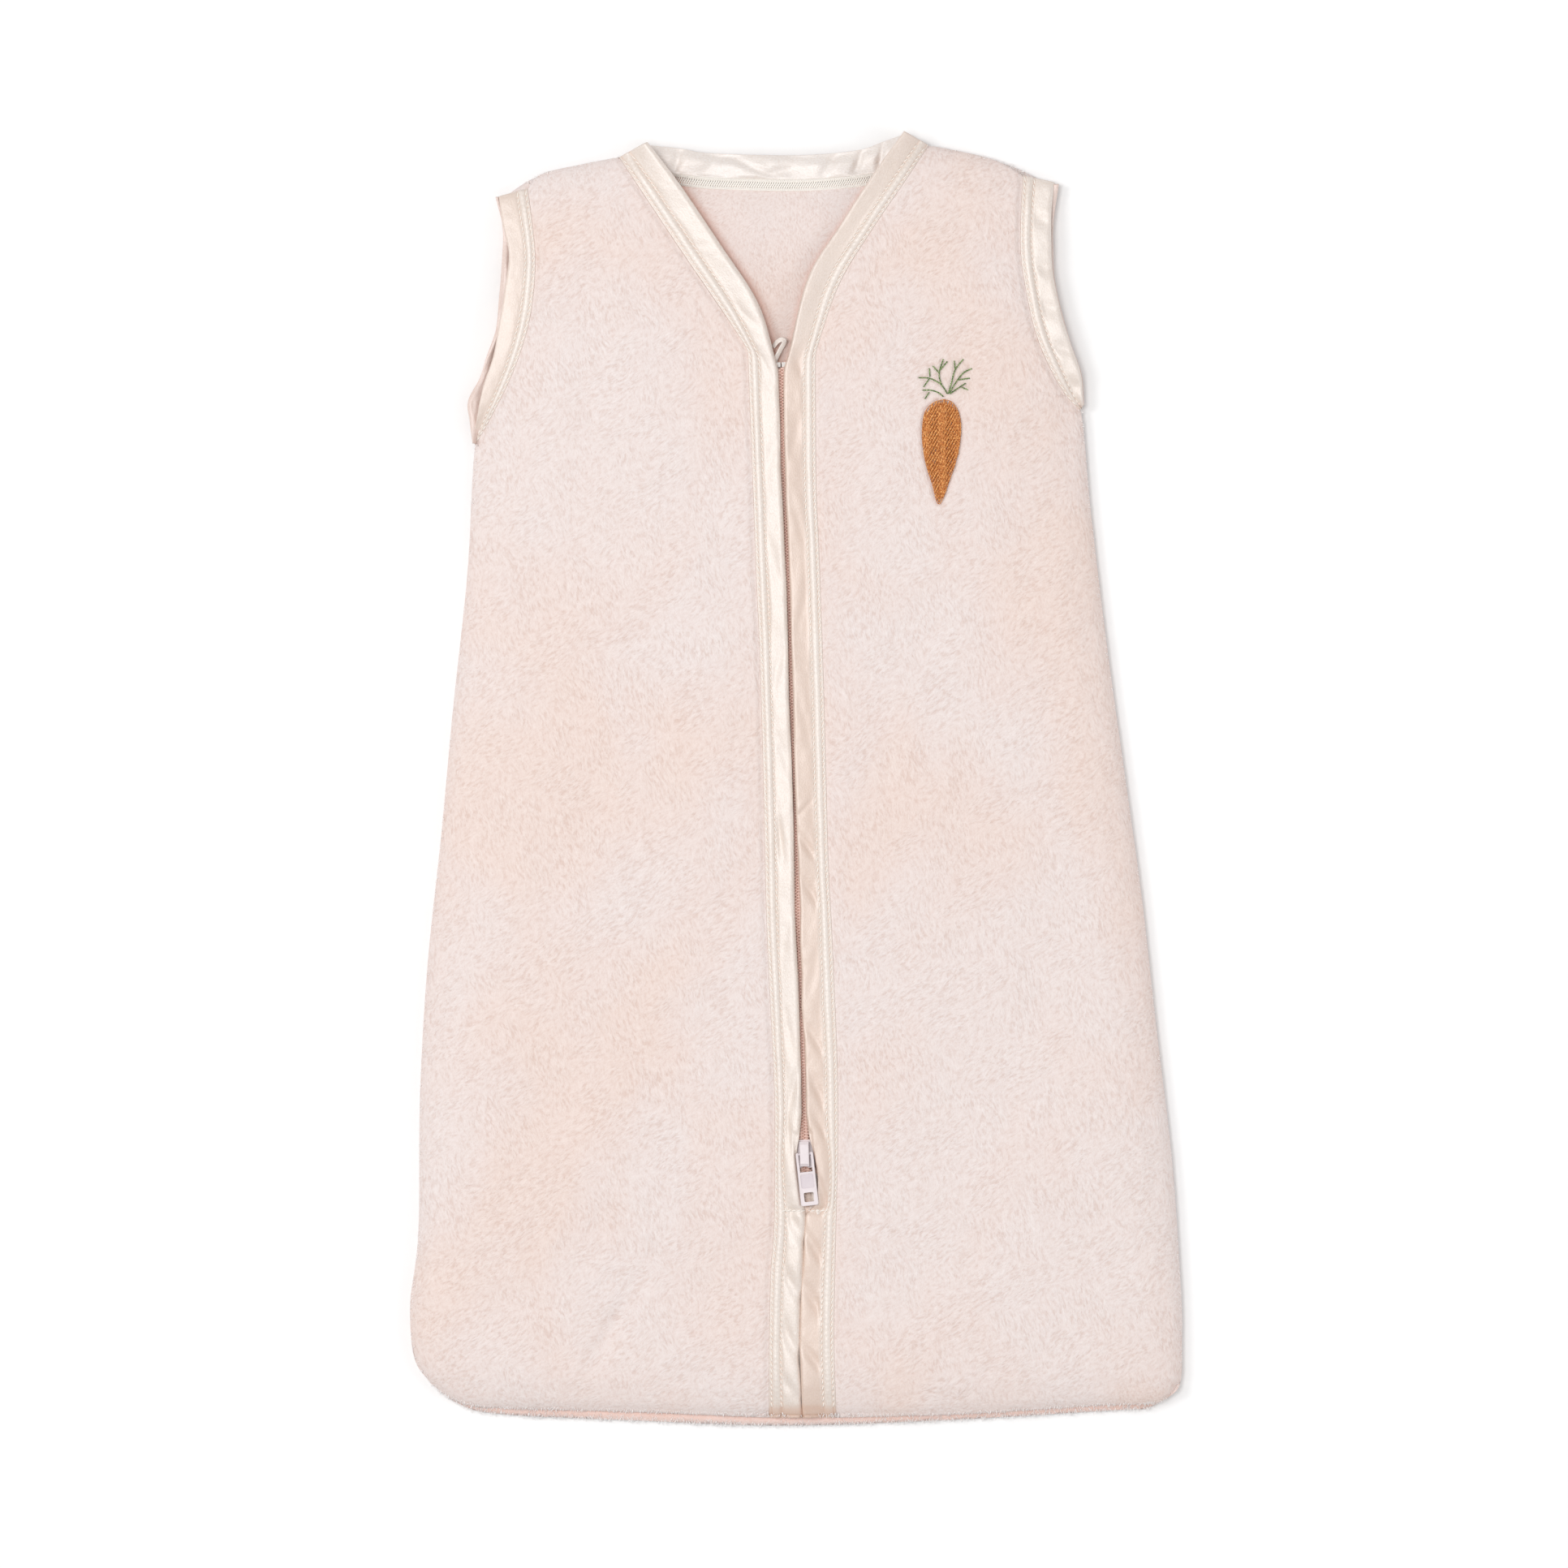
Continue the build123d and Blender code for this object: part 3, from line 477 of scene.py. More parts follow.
def make_strip(name, strip, material, thick):
    """Sweeps a strip's section along it; thick scales how far its underside lies below the top."""
    t = np.linspace(0, 1, int(strip.length / STRIP_STEP))[:, None]
    top = strip.at(t, TOP_SHARES[None])
    under = strip.at(t, UNDER_SHARES[None], -UNDER_DEPTH[None] * thick)
    loop = np.concatenate([top, under], axis=1)
    obj = swept(name, loop, material)
    across = np.concatenate([TOP_SHARES, UNDER_SHARES]) * strip.width * MM
    mark(obj, "run", xyz(t * strip.length * MM, across, 0))
    # Painted shade for the satin to read: dark dashes along the stitch rows, a line where it meets the
    # plush, and the undersides.
    stitch_shade = sum(0.55 * strip.rows * bump(TOP_SHARES, row, 0.024) for row in (ROW_ONE, ROW_TWO))
    painted_satin_shade = np.concatenate([stitch_shade + 0.3 * (TOP_SHARES < 0.01), np.full(len(UNDER_SHARES), 0.45)])
    flap = np.concatenate([smooth((TOP_SHARES - 0.38) / 0.1), np.zeros(len(UNDER_SHARES))])
    along_neck = smooth((loop[..., 1] - NECK_FOOT) / 25) * (strip.length > LONG_STRIP)
    # More painted shade on the flap, as much as the strip asks for and less along the neck, and on the hem
    # where it turns under.
    flap_shade = strip.painted_flap_shade * flap * (1 - 0.55 * along_neck)
    hem_shade = 0.75 * smooth((HEM_FOLD - loop[..., 1]) / 5)
    mark(obj, "painted_satin_shade", np.clip(painted_satin_shade + flap_shade + hem_shade, 0, 0.85))
    return obj


def stitch_paths(strip, row, start, end):
    """One short slanted thread for each stitch of a row."""
    count = int(strip.length * (end - start) / STITCH_PITCH)
    first = start * strip.length + np.arange(count)[:, None] * STITCH_PITCH + 0.5 * STITCH_PITCH
    along = first + np.linspace(-0.5, 0.5, 6)[None] * STITCH_LENGTH
    t = np.clip(along / strip.length, 0, 1)
    slant = np.linspace(-0.25, 0.25, 6)[None] / strip.width
    arch = np.array([-0.1, 0.25, 0.36, 0.36, 0.25, -0.1])[None]
    level = strip.at(first / strip.length, np.full(first.shape, row))[..., 2]
    path = strip.at(t, row + slant + 0 * t)
    path[..., 2] = 0.5 * path[..., 2] + 0.5 * level + arch
    return path


# --- materials --------------------------------------------------------------------------------
def material(name, colour, roughness, **sockets):
    """A new material, its node tree and its shader, with the shader's sockets given by name."""
    mat = bpy.data.materials.new(name)
    mat.use_nodes = True
    shader = mat.node_tree.nodes["Principled BSDF"]
    shader.inputs["Base Color"].default_value = (*colour, 1)
    shader.inputs["Roughness"].default_value = roughness
    for key, value in sockets.items():
        shader.inputs[key.replace("_", " ")].default_value = value
    mat.diffuse_color = (*colour, 1)
    return mat, mat.node_tree, shader


def node(tree, kind, **values):
    """A shader node with its settings, or the defaults of its sockets, given by name."""
    made = tree.nodes.new("ShaderNode" + kind)
    for key, value in values.items():
        if hasattr(made, key):
            setattr(made, key, value)
        else:
            made.inputs[key.replace("_", " ")].default_value = value
    return made


def coords(tree, scale=(1, 1, 1), rotation=(0, 0, 0), attribute=None):
    """Positions in the object, or a vector that is stored on its points."""
    if attribute:
        source = node(tree, "Attribute", attribute_name=attribute).outputs["Vector"]
    else:
        source = node(tree, "TexCoord").outputs["Object"]
    mapping = node(tree, "Mapping", Scale=scale, Rotation=rotation)
    tree.links.new(source, mapping.inputs["Vector"])
    return mapping.outputs["Vector"]


def noise_node(tree, vector, scale, detail=3.0, roughness=0.55, distortion=0.0, output="Fac"):
    settings = {"Scale": scale, "Detail": detail, "Roughness": roughness, "Distortion": distortion}
    n = node(tree, "TexNoise", **settings)
    tree.links.new(vector, n.inputs["Vector"])
    return n.outputs[output]


def ramp(tree, fac, stops):
    r = node(tree, "ValToRGB")
    points = r.color_ramp.elements
    for point, (position, colour) in zip(points, (stops[0], stops[-1])):
        point.position, point.color = position, (*colour, 1)
    for position, colour in stops[1:-1]:
        points.new(position).color = (*colour, 1)
    tree.links.new(fac, r.inputs["Fac"])
    return r.outputs["Color"]


def mix(tree, fac, a, b, kind="MIX"):
    m = node(tree, "Mix", data_type="RGBA", blend_type=kind)
    for socket, value in ((m.inputs[0], fac), (m.inputs[6], a), (m.inputs[7], b)):
        if hasattr(value, "links"):
            tree.links.new(value, socket)
        elif isinstance(value, (int, float)):
            socket.default_value = value
        else:
            socket.default_value = (*value, 1)
    return m.outputs[2]


def bump_node(tree, height, distance, strength=1.0, normal=None):
    b = node(tree, "Bump", Strength=strength, Distance=distance)
    tree.links.new(height, b.inputs["Height"])
    if normal is not None:
        tree.links.new(normal, b.inputs["Normal"])
    return b.outputs["Normal"]


def shades(colour, *factors):
    """A colour made darker or lighter, by one factor or one for each channel."""
    factors = factors * 3 if len(factors) == 1 else factors
    return tuple(c * k for c, k in zip(colour, factors))


def dress(tree, shader, colour, normal):
    """Joins a colour and a relief to the shader."""
    tree.links.new(colour, shader.inputs["Base Color"])
    tree.links.new(normal, shader.inputs["Normal"])


def hairs(tree, scale, stretch, turns, warp):
    """Fine hairs: two sheets of stretched noise, laid two ways, that take over from each other."""
    base = coords(tree)
    wander = noise_node(tree, base, 55, 1.0, 0.5, output="Color")
    add = node(tree, "VectorMath", operation="MULTIPLY_ADD")
    tree.links.new(wander, add.inputs[0])
    add.inputs[1].default_value = (warp, warp, 0)
    tree.links.new(base, add.inputs[2])
    lays = []
    for turn in turns:
        mapping = node(tree, "Mapping", vector_type="TEXTURE", Rotation=(0, 0, turn))
        mapping.inputs["Scale"].default_value = (1, 1 / stretch, 1)
        tree.links.new(add.outputs[0], mapping.inputs["Vector"])
        lays.append(noise_node(tree, mapping.outputs["Vector"], scale, 3, 0.6, 0.2))
    where = noise_node(tree, base, 42, 1)
    choose = ramp(tree, where, [(0.42, (0, 0, 0)), (0.58, (1, 1, 1))])
    return mix(tree, choose, lays[0], lays[1])


def plush_material(name, nap=1.0):
    """Pale pink plush: patches of tone, short tufts that lie in changing directions, and fine hairs."""
    look = {"Sheen_Weight": 0.3, "Sheen_Roughness": 0.4, "Sheen_Tint": (1, 0.96, 0.95, 1)}
    mat, tree, shader = material(name, (0.80, 0.70, 0.66), 0.92, Specular_IOR_Level=0.2, **look)
    wide = noise_node(tree, coords(tree, (1, 0.7, 1), (0, 0, 0.5)), 13, 2, 0.5, 0.4)
    tones = [(0.36, (0.83, 0.69, 0.635)), (0.48, (0.825, 0.705, 0.665)), (0.60, (0.825, 0.725, 0.695))]
    tone = ramp(tree, wide, tones)
    tufts = hairs(tree, 760 * nap, 0.4, (-0.95, 0.25), 0.006)
    fine = hairs(tree, 2100 * nap, 0.3, (-0.8, 0.1), 0.004)
    shade = ramp(tree, tufts, [(0.34, (0.90, 0.84, 0.81)), (0.5, (1, 1, 1)), (0.68, (1.05, 1.08, 1.09))])
    speck = ramp(tree, fine, [(0.35, (0.95, 0.93, 0.92)), (0.55, (1, 1, 1)), (0.7, (1.03, 1.04, 1.05))])
    colour = mix(tree, 0.95, mix(tree, 0.85, tone, shade, "MULTIPLY"), speck, "MULTIPLY")
    # Painted shade: points marked on the back plush turn peach along the hem and beside the neck's folds.
    painted_pile_shade = node(tree, "Attribute", attribute_name="painted_pile_shade").outputs["Fac"]
    cloth = mix(tree, painted_pile_shade, colour, (0.90, 0.53, 0.42))
    first = bump_node(tree, fine, 0.0004 / nap, 0.4)
    dress(tree, shader, cloth, bump_node(tree, tufts, 0.0008 / nap, 0.6, first))
    return mat


def grained(name, colour, roughness, grain, stops, relief, **sockets):
    """A material with one grain, (scale, detail), in its tone and its relief, (depth, strength)."""
    mat, tree, shader = material(name, colour, roughness, **sockets)
    fleck = noise_node(tree, coords(tree), *grain)
    dress(tree, shader, ramp(tree, fleck, stops), bump_node(tree, fleck, *relief))
    return mat


def tips_material(name):
    """The pale tips of the pile, seen side on along the edges."""
    stops = [(0.35, (0.96, 0.88, 0.85)), (0.62, (0.99, 0.96, 0.94))]
    look = {"Sheen_Weight": 0.8, "Sheen_Tint": (1, 0.98, 1, 1), "Specular_IOR_Level": 0.2}
    return grained(name, (0.98, 0.94, 0.92), 0.9, (420, 3), stops, (0.0001, 0.2), **look)


def satin_material(name, colour=(0.77, 0.67, 0.60)):
    """Satin: painted peach shade on its undersides, along its stitch rows and on shaded flaps, with a broad
    white sheen on every ridge.
    """
    mat, tree, shader = material(
        name, colour, 0.54, Specular_IOR_Level=1.0, IOR=2.1, Coat_Weight=0.08, Coat_Roughness=0.35
    )
    along = coords(tree, attribute="run")
    tint = noise_node(tree, along, 45, 2)
    grain = noise_node(tree, coords(tree, (0.6, 1, 1), attribute="run"), 1500, 3, 0.6)
    tone = ramp(tree, tint, [(0.3, shades(colour, 1, 0.975, 0.95)), (0.7, colour)])
    # Fine grain in the tone, its brighter, bluer flecks painted glints.
    grain_and_glints = ramp(tree, grain, [(0.3, (0.92, 0.88, 0.84)), (0.5, (1, 1, 1)), (0.7, (1.08, 1.12, 1.16))])
    cloth = mix(tree, 0.9, tone, grain_and_glints, "MULTIPLY")
    # Painted shade: points marked for it turn peach, where the satin would lie in shade.
    painted_satin_shade = node(tree, "Attribute", attribute_name="painted_satin_shade").outputs["Fac"]
    peach = mix(tree, painted_satin_shade, cloth, (0.66, 0.40, 0.27))
    weave = noise_node(tree, coords(tree, (0.25, 1, 1), attribute="run"), 4200, 2, 0.5)
    first = bump_node(tree, weave, 0.00012, 0.5)
    dress(tree, shader, peach, bump_node(tree, grain, 0.00022, 0.8, first))
    return mat


def thread_material(name, colour, variation, roughness=0.55, twist=2600):
    """Spun thread or a web of fibres, with a fine change of tone."""
    stops = [(0.35, shades(colour, 1 - variation)), (0.65, colour)]
    look = {"Sheen_Weight": 0.2, "Specular_IOR_Level": 0.4}
    return grained(name, colour, roughness, (twist, 2), stops, (0.00012, 0.5), **look)


def embroidery_material(name, dark, middle, light):
    """Rayon thread whose tone changes across the fill, with bright and dark specks."""
    mat, tree, shader = material(name, middle, 0.42, Specular_IOR_Level=0.55, Anisotropic=0.3)
    speck = noise_node(tree, coords(tree, (1, 0.5, 1)), 2300, 2, 0.6)
    specks = ramp(tree, speck, [(0.36, dark), (0.5, middle), (0.64, light)])
    band = noise_node(tree, coords(tree, (1, 0.06, 1)), 260, 1)
    bands = ramp(tree, band, [(0.35, (0.86, 0.80, 0.74)), (0.65, (1.0, 1.0, 1.0))])
    tone = mix(tree, 1.0, specks, bands, "MULTIPLY")
    dress(tree, shader, tone, bump_node(tree, speck, 0.00015, 0.5))
    return mat


def tape_material(name, colour):
    """Ribbed woven tape."""
    mat, tree, shader = material(name, colour, 0.8, Sheen_Weight=0.2, Specular_IOR_Level=0.3)
    wave = node(tree, "TexWave", wave_type="BANDS", bands_direction="Y", Scale=420, Distortion=1.5)
    tree.links.new(coords(tree), wave.inputs["Vector"])
    rib = wave.outputs["Fac"]
    tone = ramp(tree, rib, [(0.2, shades(colour, 0.85)), (0.8, colour)])
    dress(tree, shader, tone, bump_node(tree, rib, 0.0002, 0.6))
    return mat


def enamel_material(name, colour):
    """Satin enamel on cast metal, with painted shade in its recesses and a lighter tone along its edges."""
    mat, tree, shader = material(
        name, colour, 0.35, Specular_IOR_Level=0.5, Coat_Weight=0.25, Coat_Roughness=0.2
    )
    mottle = noise_node(tree, coords(tree), 900, 3)
    # Painted shade where the surface curves inward, and a lighter tone on its edges.
    curvature = node(tree, "NewGeometry").outputs["Pointiness"]
    painted_recess_shade, lighter_edges = (0.68, 0.60, 0.63), tuple(min(1, c * 1.08) for c in colour)
    edge = ramp(tree, curvature, [(0.43, painted_recess_shade), (0.50, colour), (0.62, lighter_edges)])
    tone = ramp(tree, mottle, [(0.3, (0.95, 0.94, 0.95)), (0.7, (1, 1, 1))])
    enamel = mix(tree, 1.0, edge, tone, "MULTIPLY")
    dress(tree, shader, enamel, bump_node(tree, mottle, 0.00008, 0.25))
    return mat


def nylon_material(name, colour):
    """Smooth moulded or drawn plastic, with a faint grain."""
    stops = [(0.3, shades(colour, 0.85)), (0.7, colour)]
    return grained(name, colour, 0.38, (1500, 2), stops, (0.0001, 0.4), Specular_IOR_Level=0.5)


PLUSH = plush_material("plush")
NAP = plush_material("plush_inside", nap=1.6)
SATIN = satin_material("satin")
THREAD = thread_material("sewing_thread", (0.97, 0.92, 0.86), 0.06)
ROOT_TONES = ((0.40, 0.12, 0.025), (0.71, 0.25, 0.05), (0.97, 0.54, 0.20))
LEAF_TONES = ((0.03, 0.08, 0.02), (0.13, 0.24, 0.06), (0.46, 0.56, 0.26))
ROOT_THREAD = embroidery_material("root_thread", *ROOT_TONES)
LEAF_THREAD = embroidery_material("leaf_thread", *LEAF_TONES)
TAPE = tape_material("zip_tape", (0.98, 0.70, 0.60))
COIL = nylon_material("zip_coil", (1.0, 0.70, 0.60))
ENAMEL = enamel_material("zip_enamel", (0.76, 0.68, 0.69))
PLASTIC = nylon_material("clear_plastic", (0.88, 0.84, 0.80))
LOOP = satin_material("tape_loop", (0.94, 0.86, 0.80))
# A darker copy of the satin with painted shade, for the armholes' back halves, and a lighter copy with
# painted light, for the back neck.
SATIN_SHADE = satin_material("satin_shade", (0.76, 0.58, 0.51))
SATIN_NECK_LIT = satin_material("satin_neck_lit", (0.80, 0.72, 0.67))
TIPS = tips_material("plush_tips")
BACKING = thread_material("backing", (0.90, 0.88, 0.85), 0.1, 0.85, 1100)


# --- pieces -----------------------------------------------------------------------------------
def finish_piece(obj, slot, *nodes):
    """Parents a piece to the bag and hides the CAD nodes that it stands for; its slot, what it is made of,
    is not used.
    """
    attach(obj, "bag")
    if nodes:
        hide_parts(*nodes)


def sew(name, paths, radius, nodes, sides=6):
    """Threads in the sewing thread's material."""
    finish_piece(tubes(name, paths, radius, THREAD, sides=sides), "thread", *nodes)


def front_band(side):
    """Both edges of one side's binding, from the shoulder down the neck and along the zip to the hem."""
    neck = (LEFT_NECK_PLUSH, LEFT_NECK_FOLD) if side < 0 else (RIGHT_NECK_PLUSH, RIGHT_NECK_FOLD)
    neck_outer, neck_fold = [dense(points, 150) for points in neck]
    down = np.linspace(neck_fold[-1, 1], -150, 420)[1:]
    round_slider, below = np.linspace(-150.5, -206, 112), np.linspace(-207, -299.2, 120)
    y = np.concatenate([down, round_slider, below])
    gaps = np.array(GAPS)[::-1]
    gap = np.interp(y, gaps[:, 0], gaps[:, 1 if side < 0 else 2])
    fold = np.stack([zip_line(y) + side * gap, y], axis=1)
    plush = dense(LEFT_PLACKET if side < 0 else RIGHT_PLACKET, 900)[::-1]
    lag = (neck_outer[-1, 1] - neck_fold[-1, 1]) * smooth((y - 130) / 65)
    outer = np.stack([np.interp(y + lag, plush[:, 1], plush[:, 0]), y + lag], axis=1)
    outer, fold = np.vstack([neck_outer, outer]), np.vstack([neck_fold, fold])
    window = np.hanning(15) / np.hanning(15).sum()
    bend = slice(120, 220)
    for edge in (outer, fold):
        for k in (0, 1):
            edge[bend, k] = np.convolve(edge[:, k], window, "same")[bend]
    return outer, fold


class FrontBand(Strip):
    """One side's binding; its flap lies over the zip and is pushed up round the slider."""

    def lift(self, t, v):
        y = np.interp(t, self.t, self.fold[:, 1])
        z = super().lift(t, v)
        pushed = bump(y, SLIDER_Y, 16) * smooth((v - 0.4) / 0.35)
        closed = smooth((CLOSED_Y - y) / 8)
        tack = bump(y, TACK_Y, 1.6) * smooth((v - 0.4) / 0.2)
        on_left = self.outer[0, 0] < self.fold[0, 0]
        under = 1.3 if on_left else 0.45
        return z + pushed - tack - under * closed * smooth((v - 0.78) / 0.22)

    def settle(self, x, y, z):
        dx, dy = x - ZIP_FOOT[0], y - ZIP_FOOT[1]
        c, s = math.cos(PULL_TURN), math.sin(PULL_TURN)
        along, across = dx * s - dy * c, np.abs(dx * c + dy * s)
        reach = smooth((along + PULL_BACK) / 3) * smooth((PULL_REACH - along) / 2)
        level = PULL_UNDER + 0.7 * smooth(-along / 2)
        return z - np.maximum(z - level, 0) * reach * smooth((PULL_HALF - across) / 1.2)


def carrot_inside(x, y):
    """Whether points are inside the carrot's outline."""
    line = dense(CARROT + CARROT[:1], 70)
    inside = np.zeros(np.shape(x), bool)
    for (ax, ay), (bx, by) in zip(line[:-1], line[1:]):
        crosses = (ay > y) != (by > y)
        slope = (bx - ax) * (y - ay) / np.where(by == ay, 1e-9, by - ay) + ax
        inside ^= crosses & (x < slope)
    return inside


def plush_height(x, y, edges):
    """Top of the plush: its seat, a pile that is pressed down beside the bindings, and soft tufts."""
    clear = nearest(x, y, edges)
    pile = PILE * (0.1 + 0.9 * smooth(clear / PILE_RAMP))
    tuft = 0.13 * noise(x + 0.4 * y, y * 0.7, 3.0, 22) + 0.16 * noise(x + 0.3 * y, y * 0.8, 1.9, 23)
    lump = 0.16 * noise(x + 0.3 * y, y, 8.5, 24)
    carrot = dense(CARROT + CARROT[:1], 40)
    sewn = np.where(carrot_inside(x, y), 0, distance(x, y, carrot))
    for branch in LEAVES:
        sewn = np.minimum(sewn, distance(x, y, np.array(branch)) + 0.4)
    pile = pile * (0.35 + 0.65 * smooth(sewn / 1.8))
    return seat(x, y) + pile + (tuft + lump) * smooth(clear / 2.5) * smooth(sewn / 1.5)


def front_panel(name, left, right, bottom, top, edges, cad):
    rows, cols = 517, 137
    plan = patch(left, right, bottom, top, rows, cols, 1.25)
    x, y = plan[..., 0], plan[..., 1]
    z = plush_height(x, y, edges)
    under = np.maximum(z - FRONT_THICK - PILE, SEAM_Z - 0.1)
    obj = slab(name, xyz(x, y, np.maximum(z, under + 0.6)), xyz(x, y, under), PLUSH)
    finish_piece(obj, "plush", cad)


def front_panels():
    """The two plush fronts, each filled in between its side, its inner edge, the hem and the shoulder."""

    def sewn(neck, arm, placket):
        return dense(neck, 80), dense(arm, 80), dense(placket, 300)

    inset = 0.25  # the plush tucks under the binding's edge
    left = LEFT_SIDE[:-1] + LEFT_ARM_PLUSH[::-1]
    inner = [(x + inset, y) for x, y in LEFT_PLACKET[::-1]] + LEFT_NECK_PLUSH[-2::-1]
    hem = [p for p in FRONT_HEM if p[0] < -20] + [(-12.4, -298.6)]
    top = [LEFT_ARM_PLUSH[0], (-119.1, 284.0), (-100.0, 288.6), LEFT_NECK_PLUSH[0]]
    edges = sewn(LEFT_NECK_PLUSH, LEFT_ARM_PLUSH, LEFT_PLACKET)
    front_panel("front_plush_left", left, inner, hem, top, edges, "front_panel_left")
    right = RIGHT_SIDE[:-1] + RIGHT_ARM_PLUSH[::-1]
    inner = [(x - inset, y) for x, y in RIGHT_PLACKET[::-1]] + RIGHT_NECK_PLUSH[-2::-1]
    hem = [(19.0, -298.6)] + [p for p in FRONT_HEM if p[0] > 40]
    top = [RIGHT_NECK_PLUSH[0], (78.0, 294.4), (93.0, 290.6), RIGHT_ARM_PLUSH[0]]
    edges = sewn(RIGHT_NECK_PLUSH, RIGHT_ARM_PLUSH, RIGHT_PLACKET)
    front_panel("front_plush_right", inner, right, hem, top, edges, "front_panel_right")


def back_rise(x, y):
    """How far the back bulges up into the neck opening, always clear of the front and of the slider."""
    most = 5.6 + 1.8 * smooth((y - 184) / 14)
    room = np.clip(seat(x, y) - SEAM_Z - BACK_TOP, 0, most) * smooth((y - 130) / 60)
    from_neck = distance(x, y, dense(BACK_NECK_TOP, 12))
    return room * smooth(from_neck / 34) * smooth(nearest(x, y, ARM_EDGES) / 40)


def back_panel():
    """The plush back, swollen up in the neck opening, with its seams' shade marked on it."""
    left = LEFT_SIDE[:-1] + [(x + 4.0, y) for x, y in LEFT_ARM_BACK[::-1]]
    right = RIGHT_SIDE[:-1] + [(x - 4.0, y) for x, y in RIGHT_ARM_BACK[::-1]]
    top = [
        (-137.4, 273.2), (-119.1, 283.8), (-83.0, 291.9), (-60.0, 293.0), (-36.0, 288.6), (0.0, 287.8),
        (24.0, 289.2), (40.0, 293.8), (62.9, 296.6), (96.6, 289.3), (109.8, 284.0), (119.4, 279.2),
    ]
    plan = patch(left, right, BACK_HEM, top, 389, 237, 1.3)
    x, y = plan[..., 0], plan[..., 1]
    around = ((left, 200), (top, 100), (right[::-1], 200), (BACK_HEM[::-1], 200))
    d = distance(x, y, np.vstack([dense(points, count) for points, count in around]))
    tuft = 0.12 * noise(x, y * 0.7, 2.6, 31) + 0.35 * noise(x, y, 40, 32)
    z = BACK_EDGE + (BACK_TOP - BACK_EDGE) * (1 - np.exp(-d / 1.2)) + tuft * smooth(d / 6)
    z = z + back_rise(x, y) * smooth(d / 3)
    floor = BACK_EDGE - 2.15 * (1 - np.exp(-d / 1.0))
    obj = slab("back_plush", xyz(x, y, z), xyz(x, y, floor), NAP)
    # Painted shade: a peach band just inside the front's hem and along the neck's folds, where the front
    # shades the back.
    hem = bump(distance(x, y, dense(FRONT_HEM, 60)), 1.6, 2.8) * (y < -280)
    neck = bump(distance(x, y, dense(LEFT_NECK_FOLD, 40)), 0, 2.6) * (y > 190)
    neck = neck + 0.5 * bump(distance(x, y, dense(RIGHT_NECK_FOLD, 40)), 0, 1.6) * (y > 190)
    shade = np.clip(0.44 * hem + 0.6 * neck, 0, 0.8)
    mark(obj, "painted_pile_shade", np.concatenate([shade.ravel(), np.zeros(len(obj.data.vertices) - hem.size)]))
    finish_piece(obj, "plush", "back_panel")


def back_level(x, y):
    return BACK_TOP + 0.7 + back_rise(x, y)


# creases in the flaps and armholes: mm along, mm across, turn, half length, half width, depth
LEFT_CREASES = [
    (338, 7.0, 6, 13, 1.9, 1.6), (92, 6.6, 30, 9, 2.2, 0.9), (117, 7.2, 24, 10, 2.0, 0.8),
    (160, 9.5, -16, 14, 2.2, 0.6), (212, 8.5, 12, 14, 2.2, 0.7), (262, 8.0, -14, 14, 2.2, 0.8),
    (300, 9.5, 16, 12, 2.0, 0.6), (385, 9.0, -12, 15, 2.2, 0.8), (430, 8.0, 10, 14, 2.2, 0.9),
    (458, 9.5, -14, 12, 2.0, 1.2), (480, 8.0, 14, 12, 2.0, 1.2), (522, 9.5, 28, 16, 2.6, 1.5),
    (548, 8.5, 30, 14, 2.4, 1.5), (575, 9.0, 26, 16, 2.6, 1.5), (597, 8.0, 32, 9, 2.2, 1.4),
]
RIGHT_CREASES = [
    (120, 8.0, -28, 11, 2.2, 0.9), (155, 10, 14, 14, 2.2, 0.6), (195, 9.0, -14, 14, 2.2, 0.7),
    (235, 9.0, 14, 14, 2.2, 0.7), (290, 9.0, -12, 13, 2.2, 0.8), (329, 11.0, 42, 7, 1.2, 0.9),
    (347, 9.5, -32, 9, 2.0, 1.5), (368, 9.0, -30, 8, 1.9, 1.2), (405, 9.0, 12, 13, 2.2, 0.8),
    (438, 9.0, -24, 11, 2.0, 1.1), (460, 9.5, -20, 11, 2.0, 1.5), (478, 8.0, -24, 11, 2.0, 1.3),
    (512, 8.5, -30, 15, 2.6, 1.6), (536, 9.0, -32, 15, 2.5, 1.8), (562, 8.0, -28, 14, 2.5, 1.6),
    (588, 8.5, -32, 10, 2.2, 1.5),
]
NECK_CREASES = [
    (12, 6, 62, 9, 2.0, 1.5), (28, 6, 38, 10, 2.4, 1.1), (46, 7, -25, 12, 2.2, 0.9),
    (62, 5, 20, 12, 2.4, 1.0), (84, 7, 48, 9, 2.0, 1.3), (97, 6, 58, 8, 1.8, 1.5),
    (108, 6, 64, 7, 1.6, 1.4),
]
ARM_CREASES = [
    (20, 10, 58, 6, 3.4, 1.0), (42, 10, 62, 6, 3.6, 1.3), (62, 10, 52, 6, 3.2, 1.0),
    (82, 10, 48, 7, 3.4, 1.5), (101, 10, 55, 6, 3.0, 1.2),
]


